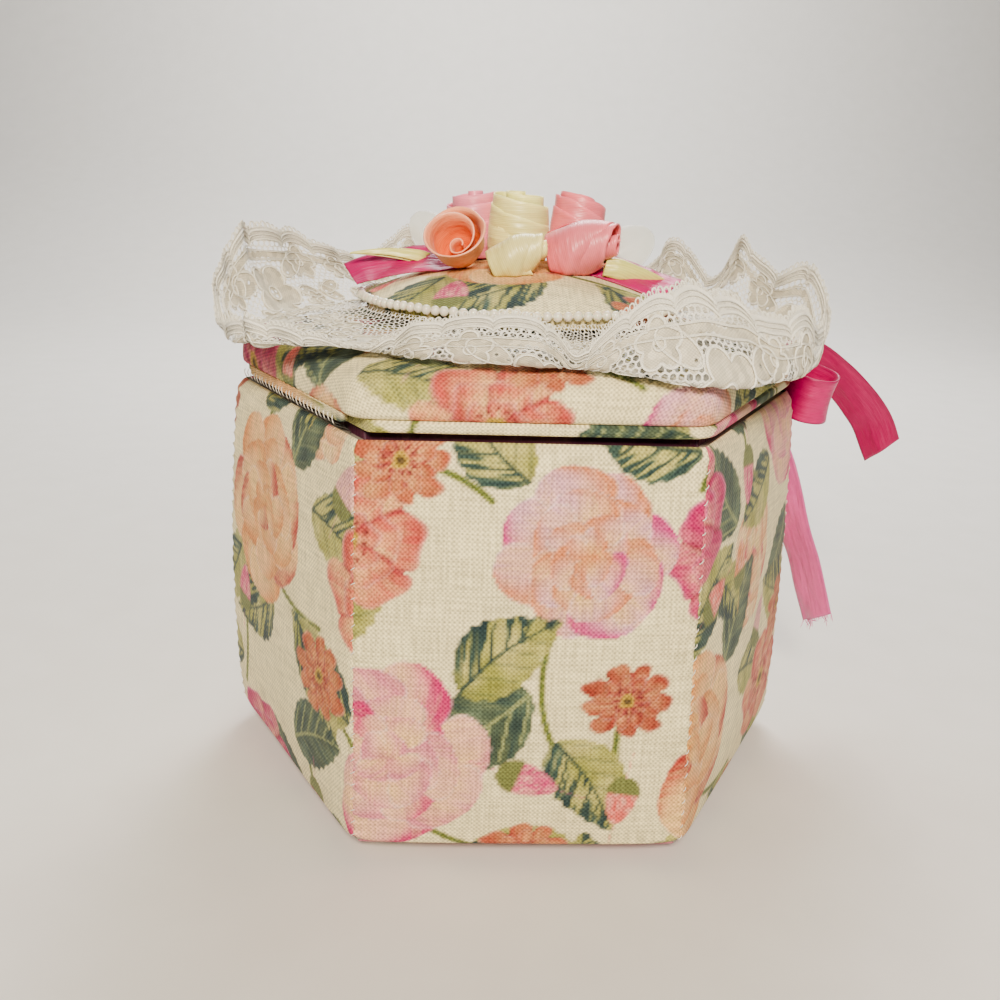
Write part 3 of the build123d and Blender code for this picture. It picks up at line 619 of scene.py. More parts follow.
# Bookbinder's greyboard: pressed waste paper, matt, with short fibres and specks.
def greyBoard():
    material, tree, shader = newMaterial("bookbindersGreyboard")
    place = addNode(tree, "TexCoord").outputs["Object"]
    fibre = addNode(tree, "TexNoise", {"Vector": place, "Scale": 900.0, "Detail": 6.0, "Roughness": 0.7}).outputs["Fac"]
    specks = addNode(tree, "TexVoronoi", {"Vector": place, "Scale": 1400.0}).outputs["Distance"]
    body = addNode(tree, "Mix", {0: fibre, 6: "#7C766C", 7: "#A79F92"}, **blending).outputs[2]
    level = addNode(tree, "MapRange", {0: specks, 1: 0.05, 2: 0.3, 3: 0.7, 4: 1.0}).outputs[0]
    bump = addNode(tree, "Bump", {"Height": fibre, "Strength": 0.4, "Distance": 0.0001}).outputs[0]
    setSockets(shader, {"Base Color": shaded(tree, body, level), "Normal": bump, "Roughness": 0.92,
                        "Specular IOR Level": 0.2})
    return material


# Moulded craft pearls: cream plastic under a pearl lacquer, so a soft clear highlight over a warm body.
def pearlFinish():
    material, tree, shader = newMaterial("mouldedCraftPearl")
    place = addNode(tree, "TexCoord").outputs["Object"]
    cloud = addNode(tree, "TexNoise", {"Vector": place, "Scale": 260.0, "Detail": 1.0}).outputs["Fac"]
    body = addNode(tree, "Mix", {0: cloud, 6: "#F4EEDC", 7: "#E2D9C2"}, **blending).outputs[2]
    soft = addNode(tree, "MapRange", {0: cloud, 1: 0.3, 2: 0.7, 3: 0.26, 4: 0.34}).outputs[0]
    setSockets(shader, {"Base Color": body, "Roughness": soft, "Coat Weight": 0.5, "Coat Roughness": 0.12,
                        "Subsurface Weight": 0.15, "Subsurface Scale": 0.001, "Specular IOR Level": 0.6})
    return material


# Cream net lace: soft matt yarn, its floats a little glossy where the flowers are worked close.
def laceFinish():
    yarns = (0.42, 0.3)                                           # mm from one to the next, along and across
    material, tree, shader = newMaterial("creamNetLace")
    weave, place, _ = threads(tree, *yarns)
    tint = addNode(tree, "Attribute", attribute_name="print").outputs["Color"]
    cloud = addNode(tree, "TexNoise", {"Vector": place, "Scale": 0.5, "Detail": 3.0}).outputs["Fac"]
    body = addNode(tree, "Mix", {0: cloud, 6: "#FCFAF3", 7: "#F1ECDF"}, **blending).outputs[2]
    level = addNode(tree, "MapRange", {0: weave, 1: -1.0, 2: 1.0, 3: 0.78, 4: 1.04}).outputs[0]
    body = addNode(tree, "Mix", {0: 1.0, 6: shaded(tree, body, level), 7: tint}, **tinting).outputs[2]
    bump = addNode(tree, "Bump", {"Height": weave, "Strength": 0.5, "Distance": 0.0001}).outputs[0]
    setSockets(shader, {"Base Color": body, "Normal": bump, "Roughness": 0.72, "Sheen Weight": 0.25,
                        "Sheen Roughness": 0.4, "Specular IOR Level": 0.35})
    return material


# Organza ribbon: crisp sheer yarns far apart, so what is behind shows through a white haze.
def organzaFinish():
    pitch = 0.35                                                  # mm, coarser than the real yarns so that they show
    material, tree, shader = newMaterial("sheerOrganza")
    weave, _, _ = threads(tree, pitch, pitch)
    level = addNode(tree, "MapRange", {0: weave, 1: -1.0, 2: 1.0, 3: 0.35, 4: 0.65}).outputs[0]
    body = addNode(tree, "Mix", {0: level, 6: "#E9ECE4", 7: "#F7F8F4"}, **blending).outputs[2]
    setSockets(shader, {"Base Color": body, "Roughness": 0.4, "Alpha": 0.36, "Sheen Weight": 0.3})
    return material


cotton, board, thread = printedCotton(), greyBoard(), sewingThread()
pearl, lace, organza = pearlFinish(), laceFinish(), organzaFinish()
lining = satin("deepPlumLiningSatin", "#54263C", "#441E30", sheen=0.1)
satins = {
    "peach": satin("peachRibbonSatin", "#F4B899", "#EFA584"),
    "pink": satin("pinkRibbonSatin", "#EE9CAD", "#E88A9E"),
    "yellow": satin("paleYellowRibbonSatin", "#F4F0B0", "#E9E293"),
    "coral": satin("coralRibbonSatin", "#F08E96", "#E97C86"),
    "cream": satin("creamRibbonSatin", "#EFE6A8", "#E0D28C"),
    "leaf": satin("leafRibbonSatin", "#E9E392", "#D2D27E"),
    "rose": satin("deepPinkRibbonSatin", "#CF2F74", "#B82464"),
    "light": satin("lightPinkRibbonSatin", "#EE7FB8", "#E268A6"),
}


# Pale studio paper that curves up far behind, as a line carried across, so that the picture has no horizon.
def makeFloor():
    size = studio["floorSize"] / mm
    sweep = [(-0.5, 0), (0.1, 0), (0.32, 0.02), (0.44, 0.14), (0.47, 0.5)]
    far = smoothLine([(size * ahead, size * up) for ahead, up in sweep], 60)
    across = np.array([-size / 2, size / 2])
    back, up = far[:, :1], far[:, 1:] - studio["floorDrop"]
    points = np.stack([across + 0 * back, back + 0 * across, up + 0 * across], -1)
    material, tree, shader = newMaterial("paleStudioPaper")
    place = addNode(tree, "TexCoord").outputs["Object"]
    grain = addNode(tree, "TexNoise", {"Vector": place, "Scale": 60.0, "Detail": 4.0}).outputs["Fac"]
    paper = addNode(tree, "Mix", {0: grain, 6: studio["floorColour"], 7: studio["floorShade"]}, **blending).outputs[2]
    setSockets(shader, {"Base Color": paper, "Roughness": 0.8, "Specular IOR Level": 0.2})
    makePiece("studioFloor", [{"points": points}], material, closed=False)


makeStage()
makeFloor()
print("keepsake box: camera, lights, materials and floor ready")


hexHalf = pi / 6                                                  # half the angle that a facet takes
wallPad = {
    "cuts": [(0, 22), (88, 10), (28, 66), (112, 96), (54, 40), (140, 118)],   # where on the cloth each panel is cut, mm
    "footSide": 75.7, "rimSide": 73.0, "boardFoot": 3.2, "boardHeight": 94.0, "foot": 0.85, "lip": 97.8,
    "columns": 132, "rows": 168, "columnEase": 0.55, "rowEase": 0.6, "halfGap": 0.1, "backGap": 0.03, "middle": 49.5,
    "thickness": 1.5, "crown": 3.0, "lipRounding": 3.6, "footRounding": 1.5, "leastEdge": 0.16,
    "seamDip": 0.35, "seamWidth": 0.9,
    "cornerPuff": {180: 2.7, 0: 1.5, 60: 1.2, 120: 1.2, 240: 0.35, 300: 0.35},
    "puckerPitch": 3.3, "pucker": 0.16, "puckerReach": 2.4, "tug": 0.22, "tugReach": 12, "wave": 0.16, "fill": 0.5,
    "clothWidth": 77.0, "cornerLift": 1.6, "cornerLiftReach": 3.2, "cornerLiftHeight": 2.6,
}


# The wall board's side at a height, which leans evenly from foot to rim.
def wallSide(z):
    w = wallPad
    return w["footSide"] + (w["rimSide"] - w["footSide"]) * (z - w["boardFoot"]) / w["boardHeight"]


# How far the padding stands out at a corner: the corner's own puff x sin(pi x height's share)^0.55.
def cornerPuff(corner, z):
    share = np.clip((z - wallPad["foot"]) / (wallPad["lip"] - wallPad["foot"]), 0, 1)
    return wallPad["cornerPuff"][corner % 360] * np.sin(pi * share) ** 0.55


# A wall pad in its facet's own directions: x = u x the mitre's reach, y = board + e(v) x (seam + crown x (1 - u^2) x
# (1 - |2v - 1|^3.5)), z straight up, lifted a little at the foot's corners by the seams; e is a quarter ellipse at foot
# and lip. Columns and rows lie closer at the edges, by a sine. A closed back lies on the board.
def padSurfaces(direction, number):
    w = wallPad
    u = np.sin(np.linspace(-1, 1, w["columns"]) * pi / 2 * w["columnEase"]) / sin(pi / 2 * w["columnEase"])
    u = u[None, :]
    v = 0.5 + 0.5 * np.sin((np.linspace(0, 1, w["rows"]) - 0.5) * pi * w["rowEase"]) / sin(pi / 2 * w["rowEase"])
    v = v[:, None]
    z = w["foot"] + (w["lip"] - w["foot"]) * v
    end = np.minimum((z - w["foot"]) / w["footRounding"], (w["lip"] - z) / w["lipRounding"])
    e = w["leastEdge"] + (1 - w["leastEdge"]) * np.sqrt(np.maximum(1 - (1 - np.clip(end, 0, 1)) ** 2, 0))
    fromSeam = (1 - np.abs(u)) * wallSide(z) / 2
    swell = (1 - u ** 2) * (1 - np.abs(2 * v - 1) ** 3.5)
    pucker = w["pucker"] * np.cos(2 * pi * z / w["puckerPitch"] + 0.6 * np.sin(z / 7))
    pucker = pucker * np.exp(-fromSeam / w["puckerReach"])
    far = direction * 3.1                                         # another part of the noise for each panel
    tug = w["tug"] * softNoise((u + 1) * 38 * 0.35 + far, z, 6.5) * np.exp(-fromSeam / w["tugReach"])
    thick = w["thickness"] - w["seamDip"] * np.exp(-fromSeam / w["seamWidth"]) + w["crown"] * swell
    for side in (-1, 1):
        thick = thick + cornerPuff(direction + 30 * side, z) * eased(u * side, 0.25, 1)
    thick = e * (thick + pucker + tug + w["wave"] * softNoise(u * 38 + far, z, 15.0) * (1 - u ** 4))
    y = wallSide(z) * cos(hexHalf) + thick
    mitre = y * tan(hexHalf) - w["halfGap"]
    x = u * (mitre[:, :1] * (1 - u) + mitre[:, -1:] * (1 + u)) / 2
    z = z + w["cornerLift"] * np.exp(-fromSeam / w["cornerLiftReach"] - (z - w["foot"]) / w["cornerLiftHeight"])
    front = np.stack([x, y, z], -1)
    along, up = w["cuts"][number]
    face = printed(front, np.stack([w["clothWidth"] * (u + 1) / 2 + along + 0 * x, z + up, 0 * x], -1))
    ring = edgeLoop(front)
    back = ring.copy()
    back[:, 1] = wallSide(ring[:, 2]) * cos(hexHalf) + w["backGap"]
    middle = np.zeros_like(back) + np.array([0, wallSide(w["middle"]) * cos(hexHalf) + w["backGap"], w["middle"]])
    wall = {key: np.broadcast_to(edgeLoop(face[key]), (3, *ring.shape)) for key in ("cloth", "print")}
    wall["points"] = np.stack([ring, back, middle])
    for surface in (face, wall):
        surface["points"] = facetPoints(*np.moveaxis(surface["points"], -1, 0), direction)
    return [face, wall]


for number, (facet, direction) in enumerate(facets.items()):
    pad = makePiece(f"paddedPanel_{facet}", padSurfaces(direction, number), cotton)
    claim(pad, "box", "print_cotton", f"wall_pad_{facet}")
print("keepsake box: padded walls made")

seam = {"pitch": 3.3, "foot": 3.4, "lip": 95.6, "reach": 0.14, "thick": 0.13, "length": 1.25, "lean": 0.55,
        "spread": (0.16, 0.2, 0.1),                               # at random: height in mm, lean and length as shares
        "slope": 0.36, "clear": 0.1, "sunk": 0.6}                 # how it falls aside; its room; how deep its ends go


# Whip stitches over each corner seam: an arch of thread, reach x (1 - k^2)^0.6, from one pad to the next, leaning up as
# it crosses, with its ends sunk in the cloth.
def seamStitches():
    s = seam
    heights = np.arange(s["foot"], s["lip"], s["pitch"])
    rng = np.random.default_rng(11)
    high, leaning, long = s["spread"]
    k = np.linspace(-1, 1, 7)[None, :]
    lines = []
    for angle in range(0, 360, 60):
        z = heights + rng.normal(0, high, len(heights))
        lean = s["lean"] * (1 + rng.normal(0, leaning, len(heights)))
        across = s["length"] / 2 * k * (1 + rng.normal(0, long, len(heights)))[:, None]
        pads = wallSide(z) * cos(hexHalf) + wallPad["thickness"] - wallPad["seamDip"] + cornerPuff(angle, z)
        out = (pads / cos(hexHalf))[:, None] - np.abs(across) * s["slope"] + s["reach"] * (1 - k ** 2) ** 0.6
        out = out + s["clear"] - s["sunk"] * (np.abs(k) > 0.99)
        c, d = cos(radians(angle)), sin(radians(angle))
        lines.append(np.stack([c * out - d * across, d * out + c * across, z[:, None] + lean[:, None] * k], -1))
    return tubes(np.concatenate(lines), s["thick"], 6)


claim(makePiece("cornerWhipStitches", [seamStitches()], thread), "box", "sewing_thread", "seam_threads")


# A plate turned from a profile of (share, z) rows: each row's outline is its share of the rounded hexagon's radius and,
# where a cut (direction, distance) is given, reaches no farther out that way than the distance.
def hexagonTurned(profile, apothem, corner, columns, cut=None):
    theta = np.linspace(0, 360, columns)
    theta[-1] = 0
    shares, z = np.asarray(profile)[:, :1], np.asarray(profile)[:, 1:]
    size = np.maximum(shares, 1e-6)
    radius = roundedHexagon(theta, apothem * size, corner * size) * (shares > 0)
    if cut:
        direction, distance = cut
        facing = np.cos(np.radians(theta - direction))
        radius = np.where(facing > 0.5, np.minimum(radius, distance / np.maximum(facing, 0.2)), radius)
    x, y = radius * np.cos(np.radians(theta)), radius * np.sin(np.radians(theta))
    return np.stack([x, y, z + 0 * x], -1)


baseCover = {"apothem": 65.1, "corner": 1.2, "height": 1.15, "edge": 0.5, "columns": 241, "edgeColour": "#D78C9A",
             "printShift": (300, 200)}


# The cloth-covered card under the box: flat faces and a half round edge, where the cloth is pink.
def makeBaseCover():
    b = baseCover
    half, turns = b["height"] / 2, np.linspace(-pi / 2, pi / 2, 9)
    edge = [(1 - b["edge"] * (1 - cos(t)) / b["apothem"], half + half * sin(t)) for t in turns]
    profile = [(0, 0), (0.5, 0), (0.9, 0)] + edge + [(0.9, b["height"]), (0, b["height"])]
    points = hexagonTurned(profile, b["apothem"], b["corner"], b["columns"])
    surface = printed(points, points + np.array([*b["printShift"], 0]))
    surface["print"][3:-2] = toLinear(fromHex(b["edgeColour"]))
    claim(makePiece("clothFoot", [surface], cotton), "box", "print_cotton", "base_cover")


makeBaseCover()

satinPads = {
    # panels: how far in from the wall board, then their own shape
    "outer": 2.0, "thickness": 3.0, "foot": 3.2, "lift": 0.05, "top": 99.2, "roll": 1.4, "rollDepth": 1.5,
    "dome": 0.35, "ripple": 0.1, "halfGap": 0.12, "rows": 50, "columns": 61,
    # plates: piece, body, low, high, inset from the wall board, crown, and whether the padded face looks down
    "plates": {"floor_pad": ("satinFloorPad", "box", 3.22, 7.95, 5.3, 1.4, False),
               "lid_lining": ("satinLidLining", "lid", 96.3, 99.5, 5.9, 1.3, True)},
    "plateRoll": 1.2, "plateCorner": 1.5, "plateColumns": 301, "plateWave": 0.12, "fill": 0.35,
}


# A lining panel in its facet's own directions: a mitred slab whose inner face swells by dome x (1 - u^4) x
# (1 - |2v - 1|^6), whose top edge is rolled by a quarter ellipse, and whose two ends close on their middles.
def liningSurfaces(direction, number):
    w = satinPads
    u = np.linspace(-1, 1, w["columns"])[None, :]
    back, front, foot = w["outer"], w["outer"] + w["thickness"], w["foot"] + w["lift"]
    roll, rollFoot = np.linspace(0.1, 1, 8) * pi / 2, w["top"] - w["roll"]
    z = np.concatenate([np.linspace(foot, rollFoot, w["rows"]), rollFoot + w["roll"] * np.sin(roll),
                        [w["top"], foot, foot]])[:, None]
    inset = np.concatenate([np.full(w["rows"], front), front - w["rollDepth"] * (1 - np.cos(roll)),
                            [back + 0.1, back + 0.1, front]])[:, None]
    v = np.clip((z - w["foot"]) / (w["top"] - w["foot"]), 0, 1)
    inner = inset > back + 1
    swell = w["dome"] * (1 - np.abs(u) ** 4) * (1 - np.abs(2 * v - 1) ** 6) * inner
    ripple = w["ripple"] * softNoise(u * 30 + direction, z, 7.0) * inner * (1 - np.abs(2 * v - 1) ** 8)
    y = wallSide(z) * cos(hexHalf) - inset
    x = u * (y * tan(hexHalf) - w["halfGap"])
    y = y - swell + ripple * (1 - u ** 8)
    z = z + 0 * x
    cloth = np.stack([u * 36 + 80 * number + 0 * x, z - 6 * inset, 0 * x], -1)
    points = facetPoints(x, y, z, direction)
    surfaces = [{"points": points, "cloth": cloth}]
    for k in (0, -1):
        edge, laid = points[:, k], cloth[:, k]
        middle = np.broadcast_to(edge[:-1].mean(0), edge.shape)
        surfaces.append({"points": np.stack([edge, middle]), "cloth": np.stack([laid, laid])})
    return surfaces


for number, (facet, direction) in enumerate(facets.items()):
    panel = makePiece(f"satinLining_{facet}", liningSurfaces(direction, number), lining)
    claim(panel, "box", "lining_satin", f"lining_panel_{facet}")


# A padded hexagonal plate: straight sides, an edge rolled by a quarter circle and a face that falls by crown x share^4
# from its middle, upward or downward. Its face is a little uneven; its back is flat.
def makePlatePad(name, body, node, low, high, inset, crown, looksDown):
    w = satinPads
    face, back, sign = (low, high, -1) if looksDown else (high, low, 1)
    apothem, roll = wallSide(face) * cos(hexHalf) - inset, w["plateRoll"]
    shares, turns = np.linspace(0, 1, 40)[1:-1], np.linspace(0, pi / 2, 7)
    swell = [(s * (1 - roll / apothem), face - sign * crown * s ** 4) for s in shares]
    rim = [(1 - roll * (1 - sin(t)) / apothem, face - sign * (crown + roll * (1 - cos(t)))) for t in turns]
    profile = [(0, face)] + swell + rim + [(1, back), (0, back)]
    points = hexagonTurned(profile, apothem, w["plateCorner"], w["plateColumns"])
    cloth = points.copy()
    wave = w["plateWave"] * np.abs(softNoise(points[..., 0], points[..., 1], 11.0)) * sign
    points[..., 2] -= wave * (np.abs(points[..., 2] - back) > 1.0)
    points[0, :, 2] = points[0, 0, 2]
    piece = makePiece(name, [{"points": points, "cloth": cloth}], lining)
    claim(piece, body, "lining_satin", node)


for node, (name, body, *shape) in satinPads["plates"].items():
    makePlatePad(name, body, node, *shape)
print("keepsake box: seams, foot and linings made")

lidCover = {
    "side": 74.6, "foot": 102.1, "height": 12.9, "corner": 8.0, "pocketInset": 2.0, "pocketTop": 104.15,
    # share of the height, and how much of the radius is drawn in there
    "profile": [(0, 0.022), (0.03, 0.006), (0.1, 0), (0.25, 0), (0.4, 0.003), (0.58, 0.02), (0.72, 0.052),
                (0.84, 0.112), (0.93, 0.215), (0.985, 0.34), (1, 0.44)],
    "columns": 601, "rows": 70, "wave": 0.22, "tug": 0.25, "tugReach": 7, "push": 0.8, "fill": 0.6,
    "printShift": (95, 30),
    # the cloth that hangs at the hinge: width, thickness, lower and upper edge, room before it, and place on the cloth
    "skirt": (60.0, 2.0, 99.85, 102.4), "skirtClear": 0.3, "skirtShift": 90,
}


# The lid's padded cover: a smooth profile turned round the rounded hexagon, with a pocket below for the upper card. The
# cloth lies on it as far from the middle as the profile runs, a little uneven, and tugged at the facets' middles.
def makeLidCover():
    c = lidCover
    apothem = c["side"] * cos(hexHalf)
    spread = np.array([((1 - draw) * apothem, c["foot"] + c["height"] * h) for h, draw in c["profile"]])
    top = spread[-1, 1]
    side = smoothLine(np.vstack([spread, [(0.25 * apothem, top)]]), c["rows"])
    side[:, 1] = np.minimum(side[:, 1], top)
    pocketEdge = apothem - c["pocketInset"]
    pocket = [(0, c["pocketTop"]), (pocketEdge - 0.1, c["pocketTop"]), (pocketEdge, c["foot"] + 0.02)]
    line = np.vstack([pocket, side, [(0, side[-1, 1])]])
    points = hexagonTurned(np.stack([line[:, 0] / apothem, line[:, 1]], 1), apothem, c["corner"], c["columns"])
    far = np.concatenate([[0], np.cumsum(np.hypot(*np.diff(line[::-1], axis=0).T))])[::-1]
    turn = np.radians(np.linspace(0, 360, c["columns"]))
    angle = np.where(line[:, :1] > 0.01, np.arctan2(points[..., 1], points[..., 0]), turn)
    laid = np.hypot(points[..., 0], points[..., 1]) * far[:, None] / np.maximum(line[:, :1], 0.01)
    along, up = c["printShift"]
    cloth = np.stack([laid * np.cos(angle) + along, laid * np.sin(angle) + up, 0 * laid], -1)
    cloth[-1], cloth[0] = cloth[-1].mean(0), cloth[0].mean(0)
    fromMiddle = 30 - np.abs((np.degrees(angle) + 30) % 60 - 30)  # degrees from the facet's middle
    level = np.clip((points[..., 2] - c["foot"]) / c["height"], 0, 1)
    tug = c["tug"] * np.exp(-(fromMiddle / c["tugReach"]) ** 2) * (1 - level) * np.cos(np.degrees(angle) * 1.9 + 0.5)
    uneven = c["wave"] * softNoise(cloth[..., 0], cloth[..., 1], 10.0) * np.sin(pi * np.clip(level, 0.02, 0.98))
    push = c["push"] * (uneven + tug) * (np.arange(len(line))[:, None] >= len(pocket))
    push[-1] = 0
    points[..., 0] += push * np.cos(angle)
    points[..., 1] += push * np.sin(angle)
    points[:, -1] = points[:, 0]
    width, thick, low, high = c["skirt"]
    middle = (0, apothem - c["skirtClear"] - thick / 2, (low + high) / 2)
    skirt = boxLoaf(middle, (width / 2, thick / 2, (high - low) / 2), 12, 48, 0.22)
    skirt = facetPoints(*np.moveaxis(skirt, -1, 0), facets["front_left"])
    skirtCloth = np.stack([skirt[..., 0] + c["skirtShift"], skirt[..., 2] * 2, 0 * skirt[..., 0]], -1)
    piece = makePiece("paddedLidCover", [printed(points, cloth), printed(skirt, skirtCloth)], cotton)
    claim(piece, "lid", "print_cotton", "lid_cover")


underboard = {"low": 99.5, "high": 102.1, "roll": 1.15, "fold": 0.22, "setback": 3.0, "columns": 541,
              "printShift": (20, 140)}


# The cloth-wrapped lower board: flat faces, an edge rolled as cos(t)^0.7 and creased near its top, cut at the hinge.
def makeUnderboard():
    b = underboard
    low, high = b["low"], b["high"]
    apothem = lidCover["side"] * cos(hexHalf)
    turn = np.linspace(-pi / 2, pi / 2, 17)
    level = (high + low) / 2 + (high - low) / 2 * np.sin(turn)
    edge = np.stack([1 - b["roll"] * (1 - np.cos(turn) ** 0.7) / apothem, level], 1)
    edge[-4:-2, 0] -= b["fold"] / apothem
    profile = np.vstack([[(0, low), (0.5, low), (0.94, low)], edge, [(0.94, high), (0, high)]])
    cut = (facets["front_left"], apothem - b["setback"])
    points = hexagonTurned(profile, apothem, lidCover["corner"], b["columns"], cut)
    along = np.radians(np.linspace(0, 360, b["columns"])) * 70 + b["printShift"][0]
    up = points[..., 2] * 1.4 + 0.4 * profile[:, :1] * apothem + b["printShift"][1]
    piece = makePiece("rolledUnderboard", [printed(points, np.stack([along + 0 * up, up, 0 * up], -1))], cotton)
    claim(piece, "lid", "print_cotton", "lid_underboard")


makeLidCover()
makeUnderboard()

hinge = {"count": 26, "width": 60.0, "pin": 98.65, "pinHalf": 1.0, "reach": 63.4, "thick": 0.11, "lean": -1.3,
         "steps": 17, "spread": (0.18, 0.12, 0.2),                # at random: place and height in mm, lean as a share
         "dark": 0.06, "bright": 0.96, "leavesGap": (0.62, 0.76),   # the tint, with painted shade on the part in the gap, and where it changes along the thread
         # how far out and how high the thread runs, from the box to the lid
         "path": [(61.9, 97.5), (62.3, 98.4), (63.6, 99.0), (65.1, 99.5), (65.5, 100.3), (65.55, 101.2), (65.1, 101.8)]}


# Sewn hinge: each stitch is a thread that leaves the wall's lip inside the gap, turns under the lid's edge and runs up
# at a slant over the lid's lower margin; in the gap it is painted dark, as painted shade where the light doesn't reach.
def makeHingeStitches():
    h = hinge
    rng = np.random.default_rng(5)
    sideways, high, leaning = h["spread"]
    x = (np.arange(h["count"]) + 0.5) / h["count"] * h["width"] - h["width"] / 2 + rng.normal(0, sideways, h["count"])
    path = smoothLine(h["path"], h["steps"])
    k = np.linspace(0, 1, h["steps"])[None, :]
    z = path[None, :, 1] + rng.normal(0, high, h["count"])[:, None]
    along = x[:, None] + h["lean"] * (1 + rng.normal(0, leaning, h["count"]))[:, None] * (k - 0.5) * 2
    rows = tubes(facetPoints(along, path[None, :, 0], z, facets["front_left"]), h["thick"], 6)
    # painted shade: the thread is darkened inside the gap and turns to its own off-white once out of it
    tint = h["dark"] + (h["bright"] - h["dark"]) * eased(k, *h["leavesGap"])
    rows["print"] = tint[..., None, None] * np.ones(rows["points"].shape)
    piece = makePiece("hingeStitches", [rows], thread)
    low, high = (h["pin"] - h["pinHalf"]) * mm, (h["pin"] + h["pinHalf"]) * mm
    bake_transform(piece)
    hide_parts("hinge_stitches_box", "hinge_stitches_lid")


makeHingeStitches()
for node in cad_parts.values():                              # the boards are plain enough as the CAD has them
    if node.name.startswith(("wall_board", "base_board", "lid_board", "medallion_board")):
        node.data.materials.clear()
        node.data.materials.append(board)
print("keepsake box: lid, underboard and hinge stitches made")

medallion = {"radius": 40.59, "foot": 120.0, "rise": 10.5, "edge": 1.6, "rings": 90, "ringEase": 0.8, "columns": 361,
             "wrinkle": 0.2, "wrinkledFrom": 0.72, "wave": 0.12, "wrapFoot": 118.15, "printShift": (30, 92),
             "fill": 0.7,
             "pearl": 2.3, "pearls": 110, "pearlRing": 41.84, "pearlHeight": 121.4, "threadRadius": 0.28,
             "pearlSpread": (0.05, 0.08, 0.012)}                  # at random: reach and height in mm, size as a share


# The medallion: a ball's cap, z = top - ball + sqrt(ball^2 - r^2), on a straight edge that wraps its board, with small
# radial wrinkles toward the edge.
def makeMedallion():
    m = medallion
    cap = m["rise"] - m["edge"]
    ball = (m["radius"] ** 2 + cap ** 2) / (2 * cap)
    r = np.sin(np.linspace(0, 1, m["rings"]) * pi / 2 * m["ringEase"]) / sin(pi / 2 * m["ringEase"]) * m["radius"]
    z = m["foot"] + m["rise"] - ball + np.sqrt(ball ** 2 - r ** 2)
    rim = np.array([(0, z[-1] - 0.5), (0, m["foot"] + 0.3), (0.1, m["wrapFoot"] + 0.5), (0.45, m["wrapFoot"]),
                    (0.55, m["foot"] + 0.02), (m["radius"], m["foot"] + 0.02)])
    r, z = np.concatenate([r, m["radius"] - rim[:, 0]])[:, None], np.concatenate([z, rim[:, 1]])[:, None]
    theta = np.linspace(0, 2 * pi, m["columns"])[None, :]
    theta[0, -1] = 0
    near = np.clip((r / m["radius"] - m["wrinkledFrom"]) / (1 - m["wrinkledFrom"]), 0, 1)
    near = near * (np.arange(len(r))[:, None] < m["rings"] + 2)
    fold = m["wrinkle"] * near ** 2 * (softNoise(theta * 180 / pi, 0 * theta + 3, 3.3) * np.abs(np.cos(theta)) - 0.2)
    x, y = r * np.cos(theta), r * np.sin(theta)
    lift = fold * (near > 0) + m["wave"] * softNoise(x, y, 12.0) * (1 - near) * (r > 0.5)
    points = np.stack([x, y, z + lift], -1)
    points[:, -1], points[0] = points[:, 0], points[0, 0]
    along, up = m["printShift"]
    piece = makePiece("paddedMedallion", [printed(points, np.stack([x + along, y + up, 0 * x], -1))], cotton)
    claim(piece, "lid", "print_cotton", "medallion_dome")


# Cosines and sines once round, the last place the same as the first.
def circle(count):
    turn = np.linspace(0, 2 * pi, count)
    turn[-1] = 0
    return np.cos(turn), np.sin(turn)


# Pearls: balls in a ring, each moved, lifted and sized a little at random, on a thread that shows between them.
def makePearls():
    m = medallion
    rng = np.random.default_rng(3)
    outward, high, large = m["pearlSpread"]
    a, (c, s) = np.linspace(-pi / 2, pi / 2, 8)[:, None], circle(13)
    ball = np.stack([np.cos(a) * c, np.cos(a) * s, np.sin(a) + 0 * c], -1) * m["pearl"] / 2
    turn = 2 * pi * np.arange(m["pearls"]) / m["pearls"]
    ring = m["pearlRing"] + rng.normal(0, outward, len(turn))
    places = np.stack([ring * np.cos(turn), ring * np.sin(turn), m["pearlHeight"] + rng.normal(0, high, len(turn))], -1)
    size = (1 + rng.normal(0, large, len(turn)))[:, None, None, None]
    balls = ball[None] * size + places[:, None, None, :]
    (c, s), (d, e) = circle(241), circle(7)
    c, s = c[:, None], s[:, None]
    reach, height = m["pearlRing"] + d * m["threadRadius"], m["pearlHeight"] + e * m["threadRadius"]
    string = np.stack([reach * c, reach * s, height + 0 * c], -1)
    claim(makePiece("pearlString", [{"points": balls}, {"points": string}], pearl), "lid", "pearl", "pearl_string")


makeMedallion()
makePearls()
print("keepsake box: medallion and pearls made")

